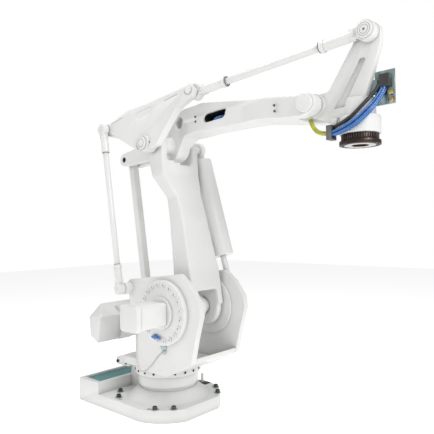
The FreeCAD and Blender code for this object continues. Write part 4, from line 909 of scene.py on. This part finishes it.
# --- turret ---------------------------------------------------------------------------------------
@dataclass
class Turret:
    """The turret's cheeks, shoulder drive, motors and the loop of motor cable."""

    shop: Workshop
    edge: float = 0.012
    drive_bolts: int = 20
    drive_circle: float = 0.205
    drive_head: float = 0.0150
    loop: tuple[tuple[float, float, float], ...] = (
        (0.340, -0.600, 0.7215), (0.335, -0.600, 0.5395), (0.314, -0.550, 0.4225),
        (0.300, -0.440, 0.4425), (0.291, -0.350, 0.5235), (0.291, -0.300, 0.5235))
    cheek_face: float = -0.300
    loop_radius: float = 0.008

    def build(self) -> None:
        """Make every piece of the turret."""
        shop = self.shop
        shop.soften("turret_floor", WHITE_PAINT, self.edge, 4)
        shop.soften("near_cheek", WHITE_PAINT, self.edge, 5)
        shop.soften("far_cheek", WHITE_PAINT, self.edge, 5)
        shop.soften("rear_lug", WHITE_PAINT, 0.008, 4)
        shop.soften("near_gearbox", SMOOTH_WHITE, 0.006, 4)
        shop.soften("near_gear_drum", SMOOTH_WHITE, 0.006, 4)
        shop.soften("near_motor_flange", SMOOTH_WHITE, 0.005, 3)
        shop.soften("near_motor", SMOOTH_WHITE, 0.010, 5)
        shop.soften("near_motor_cap", SMOOTH_WHITE, 0.009, 5)
        shop.soften("far_gear_disc", SMOOTH_WHITE, 0.006, 4)
        shop.soften("far_motor", SMOOTH_WHITE, 0.006, 4)
        shop.soften("far_motor_cap", SMOOTH_WHITE, 0.008, 4)
        self._drive_bolts()
        self._lug_bolts()
        self._motor_screws()
        self._cheek_details()
        self._cable()

    def _drive_bolts(self) -> None:
        """The ring of screws on the shoulder drive's face."""
        centre = near_middle("near_gearbox")
        for index in range(self.drive_bolts):
            turn = 2 * math.pi * (index + 0.5) / self.drive_bolts
            seat = Vector((centre.x + self.drive_circle * math.cos(turn), centre.y,
                           centre.z + self.drive_circle * math.sin(turn)))
            self.shop.bolt(f"drive_screw_{index + 1}", "near_gearbox", seat, NEAR,
                           self.drive_head, 0.011, SMOOTH_WHITE)

    def _lug_bolts(self) -> None:
        """The two black bolts on the rear lug."""
        low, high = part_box("rear_lug")
        for index, share in enumerate((0.16, 0.84)):
            seat = Vector((low.x + share * (high.x - low.x), low.y, low.z + 0.028))
            self.shop.bolt(f"lug_bolt_{index + 1}", "rear_lug", seat, NEAR, 0.013, 0.010)

    def _motor_screws(self) -> None:
        """The four screws in each corner of the near motor's cap and flange."""
        low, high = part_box("near_motor_cap")
        inset = 0.020
        corners = [(x, z) for x in (low.x + inset, high.x - inset)
                   for z in (low.z + inset, high.z - inset)]
        for index, (x, z) in enumerate(corners):
            self.shop.lathe(f"motor_cap_screw_{index + 1}", "near_motor_cap", SMOOTH_WHITE,
                            Vector((x, low.y + 0.004, z)), NEAR,
                            [(0.0, 0.0), (0.0075, 0.0), (0.0075, 0.0030), (0.0065, 0.0038),
                             (0.004, 0.0038), (0.0036, 0.001), (0.0, 0.001)], 18)

    def _cheek_details(self) -> None:
        """The lever and its knob, the gland, the vent plug and the round cover on the near cheek."""
        face = self.cheek_face
        shop = self.shop
        shop.lathe("cable_gland", "near_cheek", PALE_CABLE, Vector((0.291, face, 0.5235)), NEAR,
                   [(0.0, -0.001), (0.018, -0.001), (0.018, 0.010), (0.013, 0.013),
                    (0.013, 0.024), (0.0, 0.024)], 24)
        shop.lathe("vent_plug", "near_cheek", BARE_STEEL, Vector((0.281, face, 0.560)), NEAR,
                   [(0.0, -0.001), (0.030, -0.001), (0.030, 0.006), (0.024, 0.012),
                    (0.010, 0.014), (0.0, 0.014)], 32)
        shop.lathe("round_cover", "near_cheek", SMOOTH_WHITE, Vector((0.500, face, 0.857)), NEAR,
                   [(0.0, -0.001), (0.033, -0.001), (0.033, 0.003), (0.031, 0.005),
                    (0.012, 0.005), (0.010, 0.003), (0.0, 0.003)], 40)
        shop.tube("blue_lever", "near_gearbox", BLUE_HOSE,
                  [Vector((0.212, -0.352, 0.632)), Vector((0.240, -0.354, 0.636)),
                   Vector((0.300, -0.354, 0.630))], 0.0085)
        shop.lathe("blue_knob", "near_gearbox", BLUE_HOSE, Vector((0.240, -0.339, 0.636)), NEAR,
                   [(0.0, 0.0), (0.019, 0.0), (0.020, 0.012), (0.014, 0.022), (0.0, 0.024)], 28)

    def _cable(self) -> None:
        """The pale cable that hangs in a loop below the near motor's cap."""
        curve = self.shop.cord("motor_cable_loop", "motor_cable", PALE_CABLE,
                               [Vector(point) for point in self.loop], self.loop_radius)
        log.info("made %s", curve.name)


# --- lower arm, spring and rods -----------------------------------------------------------------
@dataclass
class LowerArm:
    """The lower arm with its elbow axle."""

    shop: Workshop
    cap_line: tuple[float, float] = (0.030, 0.0325)

    def build(self) -> None:
        """Make every piece of the lower arm."""
        shop = self.shop
        shop.melt("lower_arm", WHITE_PAINT, 0.008, 14, 0.35)
        shop.soften("elbow_axle", SMOOTH_WHITE, 0.004, 4)
        shop.hoop("elbow_cap_ring", "elbow_axle", near_middle("elbow_axle") - NEAR * 0.001, NEAR,
                  *self.cap_line, 0.0014)


@dataclass
class BalanceSpring:
    """The gas spring between the elbow and the turret."""

    shop: Workshop

    def build(self) -> None:
        """Make the spring's barrel and rod."""
        shop = self.shop
        shop.soften("spring_barrel", SMOOTH_WHITE, 0.004, 4)
        shop.soften("spring_rod", SMOOTH_WHITE, 0.003, 3)


@dataclass
class ParallelLever:
    """The counterweighted lever, its pin and the square rod that drives the upper arm."""

    shop: Workshop
    edge: float = 0.010

    def build(self) -> None:
        """Make the lever, its weight, the pin and the square rod."""
        shop = self.shop
        shop.soften("parallel_arm", WHITE_PAINT, self.edge, 4)
        shop.soften("counterweight", WHITE_PAINT, 0.014, 5)
        shop.soften("crank_pin", DARK_BOLT, 0.002, 3)
        shop.soften("parallel_rod", WHITE_PAINT, 0.009, 5)


@dataclass
class LevelRods:
    """The thin rod, the tie rod and their eyes."""

    shop: Workshop
    cap_rings: tuple[float, ...] = (0.038, 0.026)
    runs: tuple = (
        ((-0.108, -0.398, 0.9655), (-0.3005, -0.398, 2.2309),
         ("thin_rod_foot", "thin_rod_head"), 0.190, 0.029),
        ((0.47049, -0.114, 2.44194), (1.81738, -0.114, 2.53353),
         ("tie_rod_rear", "tie_rod_front"), 0.300, 0.036),
    )

    def build(self) -> None:
        """Make both rods and the cap on the tie rod's front pin."""
        shop = self.shop
        for node in ("thin_rod", "tie_rod"):
            shop.soften(node, SMOOTH_WHITE, 0.003, 3)
        for node in ("thin_rod_foot", "thin_rod_head", "tie_rod_rear", "tie_rod_front"):
            shop.soften(node, SMOOTH_WHITE, 0.0035, 4)
        shop.soften("tie_cap", SMOOTH_WHITE, 0.003, 4)
        centre = near_middle("tie_cap") - NEAR * 0.001
        for index, radius in enumerate(self.cap_rings):
            shop.hoop(f"tie_cap_ring_{index + 1}", "tie_cap", centre, NEAR, radius - 0.0016,
                      radius, 0.0013)
        self._collars()
        shop.disc("tie_cap_centre", "tie_cap", centre, NEAR, 0.007, 0.0, 0.0014, 24)

    def _collars(self) -> None:
        """Lock nuts, and bands of painted shade in the gaps where each tube leaves its eye's sleeve.
        """
        for start, end, nodes, sleeve, radius in self.runs:
            low, high = Vector(start), Vector(end)
            axis = (high - low).normalized()
            for index, (seat, out) in enumerate(((low, axis), (high, -axis))):
                spot = seat + out * sleeve
                # A band of painted shade stands in the gap.
                self.shop.ring_band(f"{nodes[index]}_gap", nodes[index], SHADOW,
                                    spot + out * 0.0015, out, radius - 0.0012, 0.003, 0.006)
                self.shop.ring_band(f"{nodes[index]}_nut", nodes[index], SMOOTH_WHITE,
                                    spot - out * 0.018, out, radius + 0.0025, 0.022, 0.008)


@dataclass
class Link:
    """The triangular link plate at the elbow."""

    shop: Workshop
    edge: float = 0.007
    screw: tuple[float, float] = (0.060, 0.001)
    grooves: tuple[tuple[float, float, float, float], ...] = (
        (-0.355, 0.199, -0.262, 0.233), (0.150, 0.312, 0.262, 0.345))
    hollows: tuple[tuple[tuple[float, float], tuple[float, float]], ...] = (
        ((-0.090, 0.235), (0.010, 0.262)),)
    slope: tuple[float, float, float] = (-0.332, 0.159, 0.205)
    elbow: tuple[float, float] = (0.10749, 2.07994)

    def build(self) -> None:
        """Make the link, its pin, its screw and its casting grooves."""
        shop = self.shop
        out = Vector((self.slope[1], -1.0, self.slope[2])).normalized()
        tools = [shop.bar(self.on_face(x0, z0), self.on_face(x1, z1), out, 0.009, 0.004)
                 for x0, z0, x1, z1 in self.grooves]
        tools += [shop.bar(self.on_face(*a), self.on_face(*b), out, 0.050, 0.0025)
                  for a, b in self.hollows]
        shop.soften("link_plate", WHITE_PAINT, self.edge, 4, 20.0, tuple(tools))
        shop.soften("link_pin", SMOOTH_WHITE, 0.003, 3)
        shop.disc("link_screw", "link_plate", self.on_face(*self.screw), out, 0.009, -0.002,
                  0.002, 20)

    def on_face(self, along: float, up: float) -> Vector:
        """A point on the link's slanting outer face, measured from the elbow.

        Args:
            along: Distance forwards.
            up: Distance upwards.

        Returns:
            The point in the frame.
        """
        side = self.slope[0] + self.slope[1] * along + self.slope[2] * up
        return Vector((self.elbow[0] + along, side, self.elbow[1] + up))


# --- upper arm ------------------------------------------------------------------------------------
@dataclass
class UpperArm:
    """The upper arm with the hose that shows in its window."""

    shop: Workshop
    length: float = 1.350
    elbow: tuple[float, float] = (0.10749, 2.07994)
    tip: tuple[float, float] = (1.45438, 2.171526)
    window: tuple[float, float, float] = (0.530, 0.0385, 0.128)
    window_length: float = 0.216
    window_height: float = 0.062
    window_depth: float = 0.120

    def point(self, along: float, side: float, up: float) -> Vector:
        """A point in the arm's own directions, in metres from the elbow axis.

        Args:
            along: Distance towards the tilt axis.
            side: Distance to the left.
            up: Distance square to the arm.

        Returns:
            The point in the frame.
        """
        run = (self.tip[0] - self.elbow[0]) / self.length
        rise = (self.tip[1] - self.elbow[1]) / self.length
        return Vector((self.elbow[0] + along * run - up * rise, side,
                       self.elbow[1] + along * rise + up * run))

    def build(self) -> None:
        """Make the arm, its pins, its screws and its inner hose."""
        shop = self.shop
        shop.melt("upper_arm", WHITE_PAINT, 0.0065, 8, 0.35)
        shop.soften("lever_pin", DARK_BOLT, 0.002, 3)
        shop.soften("tilt_pin", SMOOTH_WHITE, 0.005, 4)
        self._inner_hose()
        self._screws()

    def _screws(self) -> None:
        """Two pairs of small screws on the near face."""
        spots = ((0.352, -0.109, 0.158), (0.352, -0.109, 0.122),
                 (1.118, -0.186, 0.045), (1.118, -0.186, 0.007))
        for index, spot in enumerate(spots):
            self.shop.disc(f"arm_screw_{index + 1}", "upper_arm", self.point(*spot), NEAR,
                           0.0085, -0.004, 0.002, 18)

    def _inner_hose(self) -> None:
        """The blue hose that crosses the window inside the arm."""
        points = [self.point(0.434, 0.000, 0.104), self.point(0.490, -0.062, 0.108),
                  self.point(0.570, -0.070, 0.116), self.point(0.626, -0.010, 0.128)]
        self.shop.tube("window_hose", "upper_arm", BLUE_HOSE, points, 0.013)
        self._window_shade()

    def _window_shade(self) -> None:
        """A sheet of painted shade on the floor and the sides of the window."""
        along, floor, up = self.window
        height = self.window_height
        shape = bmesh.new()
        half = (self.window_length - height) / 2
        rim = []
        for end in (1, -1):
            for index in range(13):
                turn = math.pi * (index / 12 - 0.5) + (0 if end > 0 else math.pi)
                rim.append(self.point(along + end * half + math.cos(turn) * height / 2, floor,
                                      up + math.sin(turn) * height / 2))
        floor_ring = [shape.verts.new(point) for point in rim]
        wall_ring = [shape.verts.new(point + NEAR * self.window_depth) for point in rim]
        shape.faces.new(floor_ring)
        for index in range(len(rim)):
            after = (index + 1) % len(rim)
            shape.faces.new((floor_ring[index], floor_ring[after], wall_ring[after],
                             wall_ring[index]))
        # The sheet has the bore-shadow finish: painted shade inside the window.
        self.shop.hang(place_shape("window_shade_sheet", shape), "upper_arm", SHADOW)


# --- wrist and tool --------------------------------------------------------------------------------
@dataclass
class Wrist:
    """The wrist's tilting house, its drum, the hose bracket and the hoses."""

    shop: Workshop
    origin: tuple[float, float] = (1.45438, 2.171526)
    hose_radius: float = 0.008
    hose_pitch: float = 0.017
    hose_depth: float = 0.021

    def at(self, x: float, y: float, z: float) -> Vector:
        """A point measured from the tilt axis, in metres.

        Args:
            x: Distance forwards.
            y: Distance to the left.
            z: Distance upwards.

        Returns:
            The point in the frame.
        """
        return Vector((self.origin[0] + x, y, self.origin[1] + z))

    def build(self) -> None:
        """Make every piece of the wrist."""
        shop = self.shop
        shop.soften("tilt_house", WHITE_PAINT, 0.009, 5, 22.0)
        shop.soften("fin_pin", SMOOTH_WHITE, 0.002, 3)
        shop.soften("wrist_drum", SMOOTH_WHITE, 0.006, 5)
        shop.soften("hose_bracket", BARE_STEEL, 0.0015, 3)
        shop.soften("cable_plug", BLACK_PLASTIC, 0.004, 4)
        for index in (1, 2):
            shop.soften(f"hose_fitting_{index}", BRASS, 0.0015, 2)
        shop.soften("hose_strap", BLACK_RUBBER, 0.004, 3)
        self._hoses()
        self._scale_marks()

    def _hoses(self) -> None:
        """The four air hoses, the cable and the ribbed sleeve."""
        for index in range(4):
            side = self.hose_pitch * (index % 2)
            depth = self.hose_depth * (index // 2)
            start = 0.410 + side
            points = [self.at(start, -0.020 - depth, 0.048),
                      self.at(start, -0.020 - depth, 0.022),
                      self.at(0.346 + side, -0.138 - depth, -0.112 - side),
                      self.at(0.222 + side, -0.138 - depth, -0.178 - side),
                      self.at(0.116, -0.114 - depth, -0.192 - side)]
            self.shop.cord(f"air_line_{index + 1}", f"air_hose_{index + 1}",
                           BLUE_HOSE, points, self.hose_radius)
        self.shop.cord("wrist_line", "wrist_cable", BLACK_RUBBER,
                       [self.at(0.400, -0.040, 0.084), self.at(0.392, -0.040, 0.048),
                        self.at(0.352, -0.138, -0.048), self.at(0.238, -0.138, -0.138),
                        self.at(0.116, -0.114, -0.164)], 0.011)
        sleeve = self.shop.tube(
            "ribbed_sleeve", "hose_sleeve", YELLOW_GREEN,
            [self.at(-0.045, -0.060, -0.078), self.at(-0.014, -0.084, -0.140),
             self.at(0.066, -0.118, -0.188), self.at(0.112, -0.118, -0.188)], 0.0138)
        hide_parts("hose_sleeve")

    def _scale_marks(self) -> None:
        """The row of scale marks near the drum's lower edge."""
        low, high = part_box("wrist_drum")
        centre_x, centre_y = (low.x + high.x) / 2, (low.y + high.y) / 2
        radius = (high.y - low.y) / 2
        shape = bmesh.new()
        count = 72
        for index in range(count):
            turn = 2 * math.pi * index / count
            tall = 0.010 if index % 6 == 0 else 0.006
            half = 0.0014 / radius
            corners = []
            for side, up in ((-half, 0.0), (half, 0.0), (half, tall), (-half, tall)):
                corners.append(shape.verts.new((
                    centre_x + (radius - 0.0004) * math.cos(turn + side),
                    centre_y + (radius - 0.0004) * math.sin(turn + side),
                    low.z + 0.012 + up)))
            shape.faces.new(corners)
        self.shop.hang(place_shape("scale_marks", shape), "wrist_drum", DARK_BOLT)


@dataclass
class Tool:
    """The turning dial ring and the tool flange."""

    shop: Workshop
    face_radius: float = 0.092
    face_hole: float = 0.051
    face_screws: int = 12
    screw_circle: float = 0.105
    tooth_count: int = 48

    def build(self) -> None:
        """Make the dial ring and the flange."""
        self.shop.soften("dial_ring", BROWN_STEEL, 0.002, 3)
        self.shop.soften("tool_disc", BROWN_STEEL, 0.003, 3)
        self._flange_face()
        self._teeth()

    def _flange_face(self) -> None:
        """The bright machined face under the flange, with its ring of screws."""
        low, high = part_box("tool_disc")
        centre = Vector(((low.x + high.x) / 2, (low.y + high.y) / 2, low.z))
        self.shop.lathe("flange_face", "tool_disc", FACE_STEEL, centre, DOWN,
                        [(self.face_hole, -0.002), (self.face_radius, -0.002),
                         (self.face_radius, 0.0008), (self.face_hole, 0.0008),
                         (self.face_hole, -0.002)], 72)
        for index in range(self.face_screws):
            turn = 2 * math.pi * (index + 0.5) / self.face_screws
            spot = centre + Vector((math.cos(turn), math.sin(turn), 0)) * self.screw_circle
            self.shop.lathe(f"flange_screw_{index + 1}", "tool_disc", DARK_BOLT, spot, DOWN,
                            [(0.0, 0.0), (0.0065, 0.0), (0.0065, 0.0016), (0.0055, 0.0022),
                             (0.0, 0.0022)], 14)

    def _teeth(self) -> None:
        """The dial ring's milled teeth."""
        low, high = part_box("dial_ring")
        centre = Vector(((low.x + high.x) / 2, (low.y + high.y) / 2, 0))
        radius = (high.y - low.y) / 2
        shape = bmesh.new()
        middle_z = (low.z + high.z) / 2
        tall = (high.z - low.z) * 0.36
        for index in range(self.tooth_count):
            turn = 2 * math.pi * index / self.tooth_count
            half = math.pi / self.tooth_count * 0.55
            ring = []
            for bulge, swing in ((-0.001, -half), (0.0045, -half * 0.5), (0.0045, half * 0.5),
                                 (-0.001, half)):
                reach = radius + bulge
                ring.append((centre.x + reach * math.cos(turn + swing),
                             centre.y + reach * math.sin(turn + swing)))
            bottom = [shape.verts.new((x, y, middle_z - tall)) for x, y in ring]
            top = [shape.verts.new((x, y, middle_z + tall)) for x, y in ring]
            for step in range(3):
                shape.faces.new((bottom[step], bottom[step + 1], top[step + 1], top[step]))
            shape.faces.new(top)
            shape.faces.new(bottom[::-1])
        self.shop.hang(place_shape("dial_teeth", shape), "dial_ring", BROWN_STEEL)


# --- studio --------------------------------------------------------------------------------------
@dataclass
class Studio:
    """The floor, the soft lights and the camera."""

    camera_spot: tuple[float, float, float] = (3.04813, -2.79933, 1.42778)
    yaw: float = 41.68
    pitch: float = -1.24
    roll: float = -0.84
    lens: float = 41.58
    floor_half: float = 14.0
    sky_light: float = 0.5
    floor_glow: float = 0.45

    def build(self) -> None:
        """Make the floor, the lights, the sky and the camera."""
        self._floor()
        self._sky()
        self._light("key", (6.0, -1.6, 4.6), (0.5, 0.0, 1.1), 2.4, 150.0)
        self._light("top", (-0.6, -0.6, 6.0), (0.4, 0.0, 1.0), 3.0, 110.0)
        self._light("side", (-3.6, -5.0, 2.6), (0.2, 0.0, 1.0), 3.0, 30.0)
        self._camera()

    def _floor(self) -> None:
        """A plain pale floor."""
        mesh = bpy.data.meshes.new("floor")
        half = self.floor_half
        mesh.from_pydata([(-half, -half, -0.001), (half, -half, -0.001), (half, half, -0.001),
                          (-half, half, -0.001)], [], [(0, 1, 2, 3)])
        floor = place("floor", mesh)
        material = bpy.data.materials.new("floor_pale")
        material.use_nodes = True
        shader = material.node_tree.nodes["Principled BSDF"]
        shader.inputs["Base Color"].default_value = (0.93, 0.93, 0.93, 1.0)
        shader.inputs["Roughness"].default_value = 0.85
        shader.inputs["Emission Color"].default_value = (1.0, 1.0, 1.0, 1.0)
        shader.inputs["Emission Strength"].default_value = self.floor_glow
        mesh.materials.append(material)

    def _sky(self) -> None:
        """An even white surround."""
        world = bpy.data.worlds.new("surround")
        world.use_nodes = True
        tree = world.node_tree
        back = tree.nodes["Background"]
        back.inputs["Color"].default_value = (1.0, 1.0, 1.0, 1.0)
        seen = tree.nodes.new("ShaderNodeLightPath")
        share = tree.nodes.new("ShaderNodeMapRange")
        share.inputs["To Min"].default_value = self.sky_light
        share.inputs["To Max"].default_value = 1.0
        tree.links.new(seen.outputs["Is Camera Ray"], share.inputs["Value"])
        tree.links.new(share.outputs["Result"], back.inputs["Strength"])
        bpy.context.scene.world = world
        bpy.context.scene.view_settings.view_transform = "Standard"

    def _light(self, name: str, spot: tuple[float, float, float],
               aim: tuple[float, float, float], size: float, power: float) -> None:
        """Hang a soft square light.

        Args:
            name: Its name.
            spot: Where it hangs, in metres.
            aim: The point it faces.
            size: Its side, in metres.
            power: Its power, in watts.
        """
        data = bpy.data.lights.new(name, "AREA")
        data.energy = power
        data.size = size
        lamp = place(name, data)
        lamp.location = spot
        lamp.rotation_euler = (Vector(aim) - Vector(spot)).to_track_quat("-Z", "Y").to_euler()

    def _camera(self) -> None:
        """Set the camera."""
        turn, lift, lean = (math.radians(v) for v in (self.yaw, self.pitch, self.roll))
        back = Vector((math.sin(turn) * math.cos(lift), -math.cos(turn) * math.cos(lift),
                       math.sin(lift)))
        right = Vector((math.cos(turn), math.sin(turn), 0.0))
        up = back.cross(right)
        rolled_right = math.cos(lean) * right + math.sin(lean) * up
        rolled_up = -math.sin(lean) * right + math.cos(lean) * up
        data = bpy.data.cameras.new("studio_camera")
        data.lens = self.lens
        data.sensor_width = 36.0
        data.clip_end = 100.0
        camera = place("studio_camera", data)
        axes = Matrix((rolled_right, rolled_up, back)).transposed().to_4x4()
        camera.matrix_world = Matrix.Translation(Vector(self.camera_spot)) @ axes
        bpy.context.scene.camera = camera


def main() -> None:
    """Build the robot arm's looks, piece by piece."""
    logging.basicConfig(level=logging.INFO, format="%(name)s: %(message)s")
    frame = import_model()
    shop = Workshop(frame, Paintbox())
    Studio().build()
    for part in (Foot, Turret, LowerArm, BalanceSpring, ParallelLever, LevelRods, Link, UpperArm,
                 Wrist, Tool):
        part(shop).build()
        log.info("built %s", part.__name__)
    log.info("%d pieces", shop.count)


if __name__ == "__main__":
    main()
